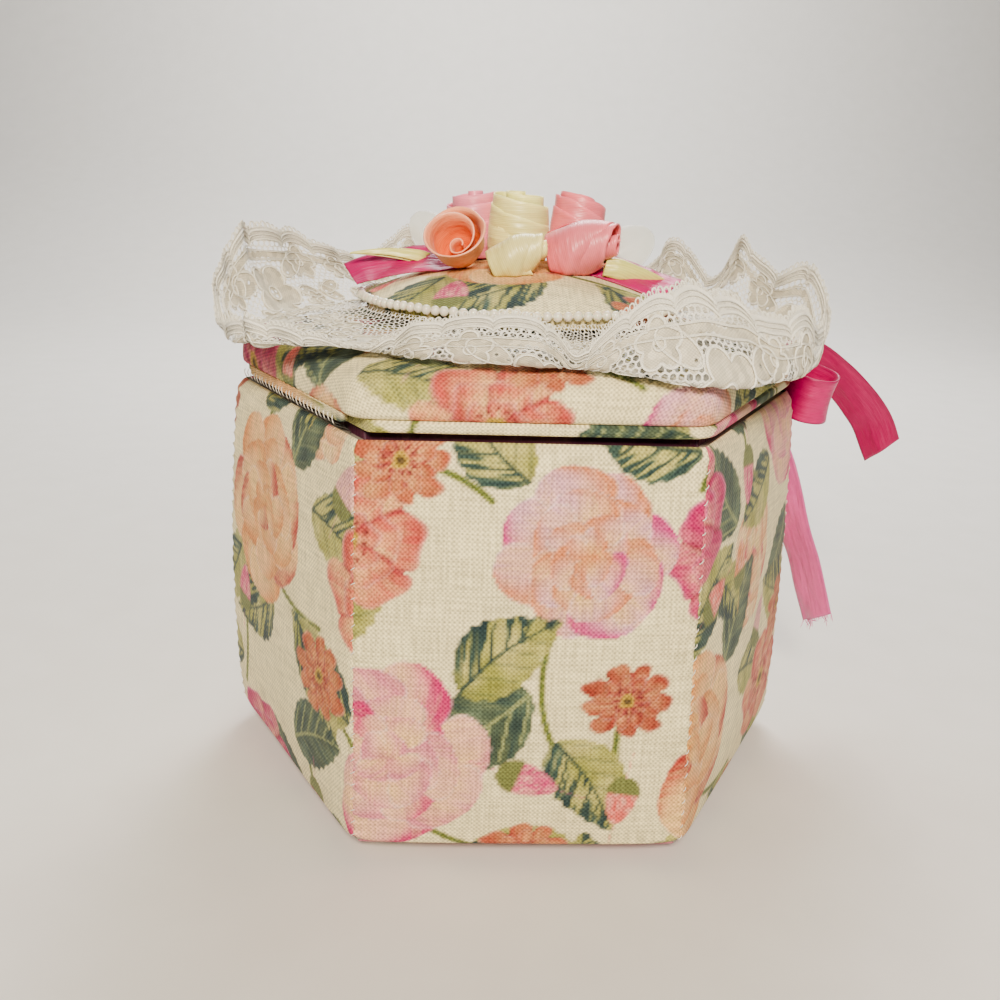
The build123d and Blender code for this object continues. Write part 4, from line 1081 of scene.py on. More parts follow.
ruffle = {
    # direction in degrees, then reach and height of its bend, and reach and height of its outer edge, in mm
    "rows": [(0, 69, 112.8, 75, 134), (6, 64, 114.8, 71, 129), (12, 61, 116, 68, 132), (17, 58, 117, 65, 138.5),
             (29, 59, 116, 66.5, 125), (42, 57, 117, 65, 135.6), (55, 59, 116, 68.3, 123.6),
             (68, 57, 117, 65, 135.2), (82, 59, 116, 68.3, 123), (95, 56, 117, 64.3, 134.2),
             (108, 59, 116, 68.3, 123.4), (120, 57, 117, 65.8, 136.6), (133, 59, 116, 69, 126),
             (146, 57, 117, 66.5, 130.5), (158, 61, 116, 71.3, 136.2), (171, 66, 114.5, 75.6, 138.4),
             (181, 71, 112.8, 80, 127), (188, 73, 110.5, 79.3, 115), (199, 74, 111, 76, 117),
             (211, 72, 112.3, 74, 120.5), (222, 69, 114, 70, 119), (232, 66, 115, 67.5, 117),
             (238, 64, 114.8, 65.5, 116.3), (243, 64, 114.2, 64.5, 120.2), (248, 63.5, 114, 64, 122.8),
             (254, 63, 113.8, 63.5, 124.5), (263, 63, 113.8, 63.5, 125.8), (270, 62.5, 113.4, 62.5, 125),
             (274, 61.5, 113, 62, 122), (277, 61.5, 113, 64.3, 116.5), (281, 63, 113, 64.0, 121.5),
             (287, 67.5, 112.8, 64.5, 128), (292, 72, 111.8, 64.5, 131), (298, 75, 110.8, 64.5, 132.4),
             (306, 76.5, 109.8, 67, 130), (314, 76.5, 110.2, 72, 125), (322, 75.5, 109.2, 75, 127),
             (329, 74, 109, 77, 121), (336, 74, 108.6, 76, 125), (343, 74, 108.2, 76.5, 112),
             (350, 73, 109, 79, 115.5), (355, 71.5, 110.8, 80, 124.6)],
    # reach and height of the heading and of the strip under the dome; where the lace lies on the lid, and how low
    "heading": (41.2, 119.7), "under": (45.2, 117.3), "rest": 115.75, "restShare": 0.55, "lidTop": (60, 115.5),
    "turns": 1440, "steps": 90, "soften": 1.2,
    "gather": 0.55, "gatherPitch": 4.6, "flute": 1.05, "flutePitch": 13.0,
    # the flat lace, in mm: its width, net, cords, edge and repeat
    "cut": 46.0, "cell": 1.62, "netHole": 0.76, "closed": 0.12, "lift": 0.22,
    "petalCord": 0.62, "leafCord": 0.5, "loopCord": 0.34, "cordShare": 0.25,   # of the lace's area
    "scallop": 11.0, "scallopDepth": 1.7, "scallopInset": 2.2, "picot": 1.5, "picotSize": 0.85, "repeat": 44.0,
    # cords along the edge: distance inside it, width, tint
    "edgeCords": [(0, 0.95, 1.0), (1.25, 0.45, 0.98), (2.4, 0.6, 1.0)],
    "band": 8.6, "bandWave": 0.6, "bandHalf": 1.1, "bandCord": 0.45,
    # worked flowers: place along and across, radius, turn in radians
    "petals": 5, "eye": 0.24,
    "flowers": [(0, 27, 8.2, 0.3), (-15.5, 35, 5.2, 0.9), (14.5, 36, 4.8, 0.1), (-13, 21, 4.2, 1.2),
                (12, 22.5, 4.0, 0.5), (21, 13.5, 4.5, 0.5), (1, 11, 3.6, 0.2)],
    # worked leaves: place along and across, length, turn in degrees
    "leaves": [(6, 31, 11, 35), (-7, 31, 11, 145), (8, 18, 9, -60), (-9, 26.5, 8, 205), (-18, 27, 8, 240),
               (19, 29, 8, -40), (0, 17.5, 7, -90), (-20, 14, 8, 160), (9, 11, 7, 20)],
}


# A round average along the first axis, weights exp(-(distance / sigma)^2 / 2).
def periodicBlur(values, sigma):
    span = int(3 * sigma) + 1
    k = np.arange(-span, span + 1)
    weights = np.exp(-(k / max(sigma, 1e-6)) ** 2 / 2)
    weights /= weights.sum()
    return sum(w * np.roll(values, -int(i), axis=0) for i, w in zip(k, weights))


# The ruffle as a surface: for each direction a Catmull-Rom line from the heading, over the lid, round the bend and up
# to the edge; then small gathers near the heading and soft flutes on the collar, both along the surface's normal.
def ruffleSurface():
    r = ruffle
    rows = np.array(r["rows"] + [(360,) + r["rows"][0][1:]], float)
    turn = np.linspace(0, 360, r["turns"], endpoint=False)
    place = np.searchsorted(rows[:, 0], turn, side="right") - 1
    share = (turn - rows[place, 0]) / (rows[place + 1, 0] - rows[place, 0])
    share = ((1 - np.cos(pi * share)) / 2)[:, None]
    table = rows[place, 1:] * (1 - share) + rows[place + 1, 1:] * share
    table = periodicBlur(table, r["soften"] * r["turns"] / 360)
    bendR, bendZ, edgeR, edgeZ = table.T
    restR = r["under"][0] + (bendR - r["under"][0]) * r["restShare"]
    knots = [r["heading"], r["under"], (restR, r["rest"]), (bendR, bendZ + 0.45),
             (bendR * 0.4 + edgeR * 0.6 + 0.10 * (edgeZ - bendZ), bendZ * 0.45 + edgeZ * 0.55), (edgeR, edgeZ + 0.3)]
    knots = np.stack([np.stack([reach + 0 * turn, height + 0 * turn], 1) for reach, height in knots], 1)
    knots = np.concatenate([2 * knots[:, :1] - knots[:, 1:2], knots, 2 * knots[:, -1:] - knots[:, -2:-1]], 1)
    t = np.linspace(0, 1, 16, endpoint=False)[None, :, None]
    runs = [catmullRom(*(knots[:, i + j][:, None] for j in range(4)), t) for i in range(knots.shape[1] - 3)]
    line = np.concatenate(runs + [knots[:, -2:-1]], 1)
    runs = np.cumsum(np.linalg.norm(np.diff(line, axis=1), axis=2), axis=1)
    runs = np.concatenate([np.zeros((len(turn), 1)), runs], 1)
    at = np.linspace(0, 1, r["steps"])
    section = np.array([[np.interp(at * far[-1], far, flat[:, k]) for k in (0, 1)] for far, flat in zip(runs, line)])
    section = section.swapaxes(1, 2)
    angle = np.radians(turn)[:, None]
    points = np.stack([section[..., 0] * np.cos(angle), section[..., 0] * np.sin(angle), section[..., 1]], -1)
    along = np.roll(points, -1, 0) - np.roll(points, 1, 0)
    normal = unit(np.cross(along, np.gradient(points, axis=1)))
    middle = points[:, int(0.72 * r["steps"])]
    steps = np.linalg.norm(np.roll(middle, -1, 0) - middle, axis=1)
    far = np.concatenate([[0], np.cumsum(steps)])[:, None]
    s = far[:-1]
    at = at[None, :]
    gather = np.sin(2 * pi * s / r["gatherPitch"] + 1.6 * softNoise(s, 0 * s, 9.0))
    gather = r["gather"] * gather * np.exp(-((at - 0.2) / 0.22) ** 2)
    flute = np.sin(2 * pi * s / r["flutePitch"] + 2.2 * softNoise(s, 0 * s + 40, 17.0))
    flute = flute * (0.4 + 0.6 * softNoise(s, 0 * s + 80, 21.0)) + 0.5 * softNoise(s, at * 30, 6.0)
    flute = r["flute"] * eased(at, 0.3, 1.0) * flute
    lay = np.abs(normal[..., 2])                                  # less of both where the lace lies flat
    push = gather * (1 - 0.5 * lay) + flute * (1 - 0.6 * lay)
    points = points + normal * push[..., None]
    near, low = r["lidTop"]
    onLid = np.hypot(points[..., 0], points[..., 1]) < near
    points[..., 2] = np.where(onLid, np.maximum(points[..., 2], low), points[..., 2])
    return np.concatenate([points, points[:1]]), far[:, 0]


rufflePoints, ruffleFar = ruffleSurface()
ruffleNormals = unit(np.cross(np.gradient(rufflePoints, axis=0), np.gradient(rufflePoints, axis=1)))
ruffleLength = float(ruffleFar[-1])
print("keepsake box: ruffle is", round(ruffleLength), "mm round at its middle")


# Places on the ruffle s along it and t across it from the heading, both in mm of flat lace: the four grid points about
# each, mixed by their shares; lift goes along the normal, and what is past the cut edge goes on straight.
def onRuffle(s, t, lift=0):
    turn = np.interp(s % ruffleLength, ruffleFar, np.arange(len(ruffleFar)))
    across = np.clip(t / ruffle["cut"], 0, 1) * (ruffle["steps"] - 1)
    i, j = np.minimum(turn.astype(int), len(ruffleFar) - 2), np.minimum(across.astype(int), ruffle["steps"] - 2)
    a, b = (turn - i)[..., None], (across - j)[..., None]
    place, normal = ((f[i, j] * (1 - a) + f[i + 1, j] * a) * (1 - b) + (f[i, j + 1] * (1 - a) + f[i + 1, j + 1] * a) * b
                     for f in (rufflePoints, ruffleNormals))
    past = np.maximum(t - ruffle["cut"], 0)[..., None]
    tip = unit(rufflePoints[i, -1] - rufflePoints[i, -3])
    return place + unit(normal) * np.asarray(lift)[..., None] + tip * past


# The lace's own pattern, in flat mm: worked flowers and leaves in a row, a worked band, then scallops at the edge.
repeats = max(1, round(ruffleLength / ruffle["repeat"]))
repeat = ruffleLength / repeats
scallop = repeat / round(repeat / ruffle["scallop"])


# The scalloped edge: round lobes, cut - inset - depth x (1 - sqrt|sin|).
def scallopEdge(s):
    notch = 1 - np.sqrt(np.abs(np.sin(pi * s / scallop)))
    return ruffle["cut"] - ruffle["scallopInset"] - ruffle["scallopDepth"] * notch


# The middle of the worked band inside the scallops: one slow wave for each repeat.
def bandLine(s):
    return ruffle["cut"] - ruffle["band"] + ruffle["bandWave"] * np.sin(2 * pi * s / repeat)


# A worked flower's radius toward an angle: size x (0.62 + 0.38 |cos|^0.7), with one swell for each petal.
def petalReach(a, size, turn):
    return size * (0.62 + 0.38 * np.abs(np.cos((a + turn) * ruffle["petals"] / 2)) ** 0.7)


# A worked leaf's half width at u along it: 0.48 x length x sqrt(share x (1 - share)).
def leafReach(u, length):
    return 0.48 * length * np.sqrt(np.maximum(u / length * (1 - u / length), 0))


# How close the lace is worked, from 0 for open net to 1 for cloth: the most of flowers, leaves and bands.
def workedCloth(s, t):
    worked = np.zeros(np.shape(s))
    for x0, t0, size, turn in ruffle["flowers"]:
        x, y = (s - x0 + repeat / 2) % repeat - repeat / 2, t - t0
        r = np.hypot(x, y)
        petals = eased(petalReach(np.arctan2(y, x), size, turn) - r, -0.3, 0.3)
        worked = np.maximum(worked, petals * (1 - 0.75 * eased(ruffle["eye"] * size - r, -0.3, 0.3)))
    for x0, t0, length, turn in ruffle["leaves"]:
        x, y = (s - x0 + repeat / 2) % repeat - repeat / 2, t - t0
        c, d = cos(radians(turn)), sin(radians(turn))
        u, v = x * c + y * d, np.abs(-x * d + y * c)
        leaf = eased(leafReach(u, length) - v, -0.25, 0.25) * (u > 0) * (u < length)
        worked = np.maximum(worked, leaf * (0.35 + 0.65 * (v > 0.35)))
    edge = scallopEdge(s)
    worked = np.maximum(worked, eased(t, edge - 2.6, edge - 2.1) * 0.75)
    return np.maximum(worked, eased(1.0 - np.abs(t - bandLine(s)), -0.2, 0.2) * 0.9)


# Net and clothwork as one sheet: honeycomb cells, each a ring of six faces round a hole that closes where worked.
def netSurfaces():
    r = ruffle
    count = round(ruffleLength / r["cell"])
    wide, high = ruffleLength / count, r["cell"] * sqrt(3) / 2
    i, j = np.meshgrid(np.arange(count), np.arange(int((r["cut"] - 2) / high)), indexing="ij")
    s, t = ((i + 0.5 * (j % 2)) * wide).ravel(), (0.6 * high + j * high).ravel()
    inside = t < scallopEdge(s) + 0.3
    s, t = s[inside], t[inside]
    worked = workedCloth(s, t)
    isWorked = worked > 0.05
    filled, clear = 1 - np.clip(worked * 1.15, 0, 1), 0.03 + 0.03 * softNoise(s, t, 1.9)
    hole = np.where(isWorked, r["netHole"] * filled, r["netHole"] - clear)
    hole = np.where(hole < r["closed"], 0, hole)
    angle = np.radians(np.arange(7) * 60 + 30)
    angle[-1] = angle[0]
    ring = np.stack([np.cos(angle) * wide / sqrt(3), np.sin(angle) * r["cell"] / sqrt(3)], -1)
    middle = np.stack([s, t], -1)[:, None]
    flat = np.stack([middle + ring, middle + ring * hole[:, None, None]], 1)
    flat[..., 0] = np.round(flat[..., 0], 5)
    points = onRuffle(flat[..., 0], flat[..., 1])
    speck = (0.5 + 0.5 * softNoise(s + 9, t, 0.95)) ** 1.3        # closer and looser stitches
    border = eased(t, scallopEdge(s) - 2.8, scallopEdge(s) - 2.2)
    level = (0.58 + 0.34 * speck) * (1 - border) + (0.76 + 0.24 * speck) * border
    warm = np.array([1.0, 0.96, 0.84]) + border[:, None] * np.array([0.0, 0.03, 0.12])
    tint = np.where(isWorked[:, None], level[:, None] * warm, 0.98)[:, None, None]
    return {"points": points, "cloth": np.concatenate([flat, 0 * flat[..., :1]], -1), "print": tint + 0 * points}


# Cords laid on the ruffle along paths (n, points, 2) in flat mm: two narrow strips that cross in an X through the lace,
# so that each cord stands out on both sides of it.
def outlineStrips(paths, width, lift=ruffle["lift"], tint=1.0):
    paths = np.asarray(paths, float)
    run = unit(np.gradient(paths, axis=1))
    aside = np.stack([-run[..., 1], run[..., 0]], -1)
    flat = np.stack([paths - aside * width / 2, paths + aside * width / 2], 2)
    flat = np.concatenate([flat, flat])
    lifts = np.full(flat.shape[:-1], -1.3 * lift)
    half = len(paths)
    lifts[:half, :, 0] = lifts[half:, :, 1] = 1.3 * lift
    points = onRuffle(flat[..., 0], flat[..., 1], lifts)
    cloth = np.concatenate([flat * 1.7, 0 * flat[..., :1]], -1)
    return {"points": points, "cloth": cloth, "print": np.array([1.0, 1.0, 0.98]) * tint + 0 * points}


# A path in the first repeat, laid again in each.
def everyRepeat(s, t):
    starts = (np.arange(repeats) * repeat)[:, None]
    return np.stack([s + starts, t + 0 * starts], -1)


# The lace's cords: round petals, eyes and leaves, along the scallops and the band, and picots close together on the
# edge, each an open loop, most of an ellipse.
def laceCords():
    r = ruffle
    cords = []
    a = np.linspace(0, 2 * pi, 61)
    for x0, t0, size, turn in r["flowers"]:
        petals, eye = (a, petalReach(a, size, turn), r["petalCord"]), (a[::3], r["eye"] * size, r["leafCord"])
        for angle, reach, width in (petals, eye):
            cords.append(outlineStrips(everyRepeat(x0 + reach * np.cos(angle), t0 + reach * np.sin(angle)), width))
    for x0, t0, length, turn in r["leaves"]:
        u = (1 - np.cos(np.linspace(0, pi, 15))) / 2 * length
        wide = leafReach(u, length)
        u, v = np.concatenate([u, u[-2::-1]]), np.concatenate([wide, -wide[-2::-1]])
        c, d = cos(radians(turn)), sin(radians(turn))
        cords.append(outlineStrips(everyRepeat(x0 + u * c - v * d, t0 + u * d + v * c), r["leafCord"]))
    for k in range(repeats):
        s = np.linspace(k * repeat, (k + 1) * repeat, 129)
        for inset, width, tint in r["edgeCords"]:
            cords.append(outlineStrips(np.stack([s, scallopEdge(s) - inset], -1)[None], width, tint=tint))
        for off in (-r["bandHalf"], r["bandHalf"]):
            cords.append(outlineStrips(np.stack([s, bandLine(s) + off], -1)[None], r["bandCord"], tint=0.98))
    picots = round(ruffleLength / r["picot"])
    s = (np.arange(picots) * ruffleLength / picots)[:, None]
    turn = np.linspace(-0.35 * pi, 1.35 * pi, 9)
    size = r["picotSize"] * (1 + 0.25 * softNoise(s * 3.1, s * 0, 2.0))
    loops = np.stack([s + size * 0.62 * np.cos(turn), scallopEdge(s) + 0.35 + size * (1 + np.sin(turn)) * 0.8], -1)
    return cords + [outlineStrips(loops, r["loopCord"], lift=0.1)]


net = netSurfaces()
lacePiece = makePiece("gatheredLace", [net] + laceCords(), lace, closed=False)
claim(lacePiece, "lid", "lace", "lace_ruffle")
print("keepsake box: lace has", len(lacePiece.data.polygons), "faces")


ribbonRoses = {
    "steps": 46, "rows": 26, "ribbon": 0.38, "rimHighlight": 1.26,
    "ball": ((0, 0, 33.6), 96.9), "clear": 0.25,                  # the dome's ball: its middle and radius
    # along the ribbon's share, from the middle outward: how far out it runs, as a share of the radius
    "reach": {"cup": [(0, 0.10), (0.28, 0.30), (0.42, 0.50), (0.56, 0.86), (1, 1)],
              "upright": [(0, 0.10), (0.10, 0.32), (0.24, 0.70), (0.42, 0.88), (0.7, 0.94), (1, 1)],
              "lying": [(0, 0.10), (0.16, 0.34), (0.34, 0.66), (0.6, 0.86), (1, 1)]},
    # and how high its rim stands, as a share of the height
    "level": {"cup": [(0, 0.46), (0.28, 0.52), (0.42, 0.66), (0.56, 0.98), (0.78, 1), (1, 0.74)],
              "upright": [(0, 1.0), (0.12, 0.99), (0.26, 0.965), (0.44, 0.92), (0.62, 0.80), (0.80, 0.62), (1, 0.42)],
              "lying": [(0, 1.0), (0.2, 0.985), (0.4, 0.93), (0.6, 0.84), (0.8, 0.72), (1, 0.52)]},
    "flowers": {
        # middle, lean and its direction in degrees, radius, height, turns, kind, slant of the rims, direction of the
        # slant, narrowing to the mouth, width of the foot, rim roll, flap, tint of the painted shade deep inside, seed;
        # then satin
        "peach": ((-16.9, -11.6, 135.0), 50, 250, 7.3, 11.2, 2.45, "cup", 0.05, 2.0, -0.12, 0.50, 1.1, 0.0,
                  (1.02, 0.54, 0.32), 1, "peach"),
        "pink": ((-13.0, 13.6, 138.2), 8, 120, 8.3, 18.0, 3.8, "upright", 0.17, 3.4, 0.05, 0.86, 0.16, 0.0,
                 (0.98, 0.70, 0.74), 2, "pink"),
        "yellow": ((-1.2, 2.4, 139.0), 3, 270, 8.8, 17.2, 3.7, "upright", 0.12, 3.0, 0.09, 0.86, 0.14, 0.0,
                   (0.94, 0.92, 0.58), 3, "yellow"),
        "coral": ((15.2, 12.0, 138.0), 8, 60, 8.3, 18.0, 3.9, "upright", 0.24, 0.6, 0.06, 0.86, 0.24, 1.4,
                  (0.97, 0.64, 0.66), 4, "coral"),
        "salmon": ((14.6, -13.2, 134.4), 74, 345, 8.2, 17.6, 3.2, "lying", 0.26, 1.2, 0.44, 0.84, 0.32, 1.2,
                   (0.96, 0.56, 0.56), 5, "coral"),
        "bud": ((-1.6, -17.2, 132.4), 64, 352, 6.4, 14.4, 3.0, "lying", 0.22, 1.9, 0.50, 0.86, 0.12, 2.4,
                (0.93, 0.88, 0.52), 6, "cream"),
    },
}


# Points inside the dome's ball are moved out along its radius to lie just on it.
def offDome(points):
    middle, radius = ribbonRoses["ball"]
    away = points - np.array(middle)
    far = np.linalg.norm(away, axis=-1, keepdims=True)
    return np.array(middle) + away * np.maximum(1, (radius + ribbonRoses["clear"]) / far)


# A rolled ribbon rose. The ribbon runs round a spiral whose reach and rim height are read from the tables above; its
# wall opens as sin over the lower half and narrows or flares as v^2 over the upper half; rims slant as cos(turn); each
# fold swells by sin(pi x fold)^0.7, and a flap is a point pulled out of the last rim.
def roseSurfaces(place, lean, toward, radius, height, turns, kind, slant, slantWay, narrow, foot, roll, flap, deep,
                 seed):
    r = ribbonRoses
    rng = np.random.default_rng(seed)
    share = np.linspace(0, 1, int(r["steps"] * turns))[:, None]
    a = share * 2 * pi * turns
    v = np.linspace(0, 1, r["rows"])[None, :]
    reach, level = (smoothTable(r[key][kind], share) for key in ("reach", "level"))
    starts = np.cumsum(rng.uniform(1.9, 3.1, 30)) - 2
    fold = np.clip(np.searchsorted(starts, a[:, 0]) - 1, 0, len(starts) - 2)
    f = ((a[:, 0] - starts[fold]) / (starts[fold + 1] - starts[fold]))[:, None]
    swell = np.sin(pi * np.clip(f, 0, 1)) ** 0.7
    tilt = rng.uniform(0.6, 1.3, 30)[fold][:, None]
    mouth = (radius - 0.5) * reach
    wall = mouth * (foot + (1 - foot) * np.sin(pi / 2 * np.minimum(v / 0.6, 1)))
    wall = wall * (1 - narrow * np.clip((v - 0.45) / 0.55, 0, 1) ** 2 * (0.4 + 0.6 * share))
    top = height * (level + slant * share * np.cos(a - slantWay)) * (1 - 0.05 * tilt * (1 - swell) * share)
    point = flap * np.exp(-((a - (a[-1] - 2.0)) / 0.30) ** 2)
    top = top + 0.7 * point                                       # the last rim's flap also stands up
    lip = np.clip((v - 0.72) / 0.28, 0, 1)
    crease = 0.24 * share * tilt * np.sin(2 * pi * (f + v * 1.3 + tilt)) * np.sin(pi * v)
    out = wall + roll * lip ** 1.6 * (0.3 + 0.7 * swell) * (0.35 + 0.65 * share) + crease + point * v ** 4
    z = top * v - roll * 0.6 * lip ** 2.6 * (0.3 + 0.7 * share)
    turn = a + 0.08 * np.sin(3 * f * pi) * v
    local = np.stack([out * np.cos(turn), out * np.sin(turn), z - height / 2 + 0 * a], -1)
    b, c = radians(lean), radians(toward)
    normal = np.array([sin(b) * cos(c), sin(b) * sin(c), cos(b)])
    aside = np.array([-sin(c), cos(c), 0.0])
    up = np.cross(normal, aside)
    points = offDome(np.array(place) + local[..., :1] * aside + local[..., 1:2] * up + local[..., 2:] * normal)
    # Painted light: a painted highlight along each rim, painted shade where the folds meet, and the deep tint as
    # painted shade low inside the rose and low on its outer face.
    rim = (1 + (r["rimHighlight"] - 1) * eased(v, 0.88, 1.0) + 0 * share)[..., None]
    shade = (1 - 0.10 * (1 - swell) * share + 0 * v)[..., None]
    outerShade = np.clip(0.35 * (1 - v) ** 2 + 0.16 * (1 - swell), 0, 1)[..., None]
    inside = np.clip(1.25 * (1 - v) ** 0.6 + 0 * share, 0, 1)[..., None]
    deep = np.array(deep)
    cloth = np.stack([top * v, a * mouth * 0.8 + 0 * v, 0 * out], -1)
    surface = {"points": points, "cloth": cloth, "print": rim * shade * (1 - inside + inside * deep)}
    faces = twoFaced(surface, r["ribbon"], rim * shade * (1 - outerShade + outerShade * deep))
    outward = local[-1, 5, 0] * aside + local[-1, 5, 1] * up
    normal = np.cross(np.gradient(points, axis=0), np.gradient(points, axis=1))[-1, 5]
    if normal @ outward > 0:                                      # the grid faces outward: the tints change places
        faces[0]["print"], faces[1]["print"] = faces[1]["print"], faces[0]["print"]
    return faces


# A table of (share, value) read along shares and averaged over a tenth of them, so that it turns without kinks.
def smoothTable(table, share):
    at, values = np.array(table, float).T
    near = np.linspace(-0.05, 0.05, 9)
    return sum(np.interp(share + step, at, values) for step in near) / len(near)


for name, (*shape, finish) in ribbonRoses["flowers"].items():
    rose = makePiece(f"ribbonRose_{name}", roseSurfaces(*shape), satins[finish])
    claim(rose, "lid", f"{finish}_satin", "bud_cream" if name == "bud" else f"rose_{name}")

ribbonLeaves = {
    "ribbon": 0.35, "sheer": 0.12, "steps": 46, "across": 25,
    # foot, tip, width, lift of the fold, lift of the middle as a share of the length, the outline's two powers, roll in
    # degrees
    "left": ((-23, -1.6, 130.2), (-44.6, -4.4, 131.2), 5.8, 1.6, 0.05, 1.0, 1.0, 25),
    "right": ((19.4, -12.6, 130.6), (35.6, -11.4, 127.0), 8.8, 3.2, 0.02, 1.0, 1.0, -42),
    "organzaLeft": ((-18.6, 3.6, 130.2), (-28.8, 7.6, 141.0), 12.0, 2.4, 0.05, 2.6, 0.5, 62),
    "organzaRight": ((22.0, 1.6, 129.8), (33.6, 3.4, 138.4), 13.0, 2.6, 0.06, 2.6, 0.5, -62),
}


# A folded ribbon leaf: half width = width x (1 - u^power)^tip with a drawn-in foot, its middle a raised fold that sinks
# to the tip, pleats at the foot, and a second, narrower layer under the first.
def leafSurfaces(foot, tip, width, fold, middle, power, tipPower, roll):
    w = ribbonLeaves
    foot, tip = np.array(foot, float), np.array(tip, float)
    length = np.linalg.norm(tip - foot)
    ahead = (tip - foot) / length
    side = unit(np.cross(ahead, np.array([0, 0, 1.0])))
    up = np.cross(side, ahead)
    roll = radians(roll)
    side, up = side * cos(roll) + up * sin(roll), up * cos(roll) - side * sin(roll)
    u, q = np.linspace(0, 1, w["steps"])[:, None], np.linspace(-1, 1, w["across"])[None, :]
    layers = []
    for layer in (0, 1):
        half = width / 2 * np.maximum(1 - u ** power, 0) ** tipPower * (0.68 + 0.32 * eased(u, 0, 0.3))
        half = half * (1 - 0.12 * layer)
        rise = fold * (1 - np.abs(q) ** 1.4) * (1 - u) ** 0.6 * (0.6 + 0.4 * eased(u, 0, 0.2)) * (1 - 0.55 * layer)
        rise = rise + 0.3 * np.cos(q * 9) * (1 - u) ** 3 - 0.5 * layer * (1 - u) - 0.25 * np.abs(q) ** 3 * (1 - u)
        rise = rise + middle * length * np.sin(pi * u) * (1 - 0.4 * layer)
        points = foot + ahead * (u * length)[..., None] + side * (q * half)[..., None] + up * rise[..., None]
        cloth = np.stack([q * half, u * length + 0 * q, 0 * q * u], -1)
        shade = (1 - 0.12 * np.exp(-(q / 0.10) ** 2) * (1 - u))[..., None] * np.array([1.0, 1.0, 0.97])
        layers.append({"points": offDome(points), "cloth": cloth, "print": shade})
    return layers


leafNodes = {"left": "leaf_left", "right": "leaf_right",
             "organzaLeft": "organza_leaf_left", "organzaRight": "organza_leaf_right"}
for name, node in leafNodes.items():
    isSheer = name.startswith("organza")
    finish, slotName = (organza, "organza") if isSheer else (satins["leaf"], "leaf_satin")
    thickness = ribbonLeaves["sheer" if isSheer else "ribbon"]
    layers = [twoFaced(layer, thickness) for layer in leafSurfaces(*ribbonLeaves[name])]
    leaf = makePiece(f"ribbonLeaf_{name}", sum(layers, []), finish)
    claim(leaf, "lid", slotName, node)


# A ribbon carried along a line: across it lies side x width x q / 2, with a curl of (1 - q^2) and a soft wave along the
# ribbon's own normal, and its end is cut at a slant. The woven edges are darker, with a lighter line inside them.
def ribbonSurface(line, side, width, curl, wave, slant=0.0, seed=0, tint=(1.0, 1.0, 1.0)):
    run = unit(np.gradient(line, axis=0))
    side = unit(side - run * (side * run).sum(-1, keepdims=True))
    up = np.cross(run, side)
    q = np.linspace(-1, 1, 21)[None, :]
    u = np.linspace(0, 1, len(line))[:, None]
    width = np.broadcast_to(np.asarray(width, float).reshape(-1, 1), (len(line), 1))
    bow = curl * (1 - q ** 2) + wave * softNoise(u * 9 + seed, q * 1.4 + seed, 1.0)
    end = slant * q * u ** 8
    points = line[:, None] + side[:, None] * (q * width / 2)[..., None] + up[:, None] * bow[..., None]
    points = points + run[:, None] * end[..., None]
    far = np.concatenate([[0], np.cumsum(np.linalg.norm(np.diff(line, axis=0), axis=1))])[:, None]
    edge = np.where(np.abs(q) > 0.9, 0.82, np.where(np.abs(q) > 0.84, 1.06, 1.0))
    cloth = np.stack([q * width / 2 + 0 * u, far + 0 * q, 0 * q * u], -1)
    return {"points": points, "cloth": cloth, "print": (edge + 0 * u)[..., None] * np.array(tint)}


streamers = {
    "width": 11.5, "tilt": 30, "ribbon": 0.35, "curl": 0.5, "wave": 0.28, "slant": 1.6, "steps": 60,
    "left": [(-14.5, -5.0, 131.4), (-20.0, -4.6, 131.0), (-24.5, -4.4, 130.7), (-29, -4.4, 130.2), (-34.0, -4.4, 129.2),
             (-39.4, -4.2, 127.8), (-44.4, -4.0, 126.0)],
    "right": [(16.0, -8.4, 130.6), (20, -9.8, 129.9), (24.6, -11.2, 128.8), (29.0, -12.6, 127.5), (33.0, -13.8, 126.3),
              (36.6, -14.8, 125.2)],
}
for name in ("left", "right"):
    s = streamers
    side = np.array([0, cos(radians(s["tilt"])), sin(radians(s["tilt"]))])
    line = smoothLine(s[name], s["steps"])
    surface = ribbonSurface(line, side, s["width"], s["curl"], s["wave"], s["slant"], len(name))
    surface["points"] = offDome(surface["points"])
    streamer = makePiece(f"streamer_{name}", twoFaced(surface, s["ribbon"]), satins["rose"])
    claim(streamer, "lid", "rose_ribbon", f"streamer_{name}")

# In the bow facet's own directions: along it, outward and up.
bow = {
    "width": 12.7, "ribbon": 0.4, "knotMiddle": (0, 67.8, 103.2), "knotHalf": (4.6, 3.1, 3.9), "knotPower": 0.55,
    "foot": (7.8, 67.8), "end": (37.5, 72.6), "endRadius": 6.3, "droop": 13.6, "height": 103.25,
    "loopCurl": 0.55, "loopWave": 0.25, "loopLength": 88.0, "tailCurl": 0.7, "tailWave": 0.5, "tailSlant": -2.5,
    # each tail's middle line, the direction across it at the knot, its tint (painted shade on the dark tail), satin and
    # slot
    "tails": {"light": ([(4.4, 71.0, 102.2), (4.6, 73.2, 97.0), (9, 74.2, 88.0), (17.6, 74.5, 80.2), (25.6, 74.6, 75.0),
                         (32.4, 76.2, 58.8), (37.0, 80.6, 41.6), (40.0, 84.4, 27.4)],
                        (1, 0, 0), (1.0, 1.0, 1.0), "light", "pink_ribbon"),
              # the dark tail's tint is painted shade, for it hangs behind, out of the light
              "dark": ([(0.9, 70.9, 104.6), (1.3, 76.4, 106.0), (6.0, 84.6, 105.4), (13.4, 94.6, 102.6),
                        (20.0, 103.8, 95.4), (25.8, 112.6, 84.4), (29.2, 117.6, 73.0)],
                       (1, 0.35, 0.5), (0.80, 0.66, 0.74), "rose", "rose_ribbon")},
    "frayed": 34, "frayLength": (1.0, 3.4), "frayDrift": 0.35, "frayThick": 0.09,
}


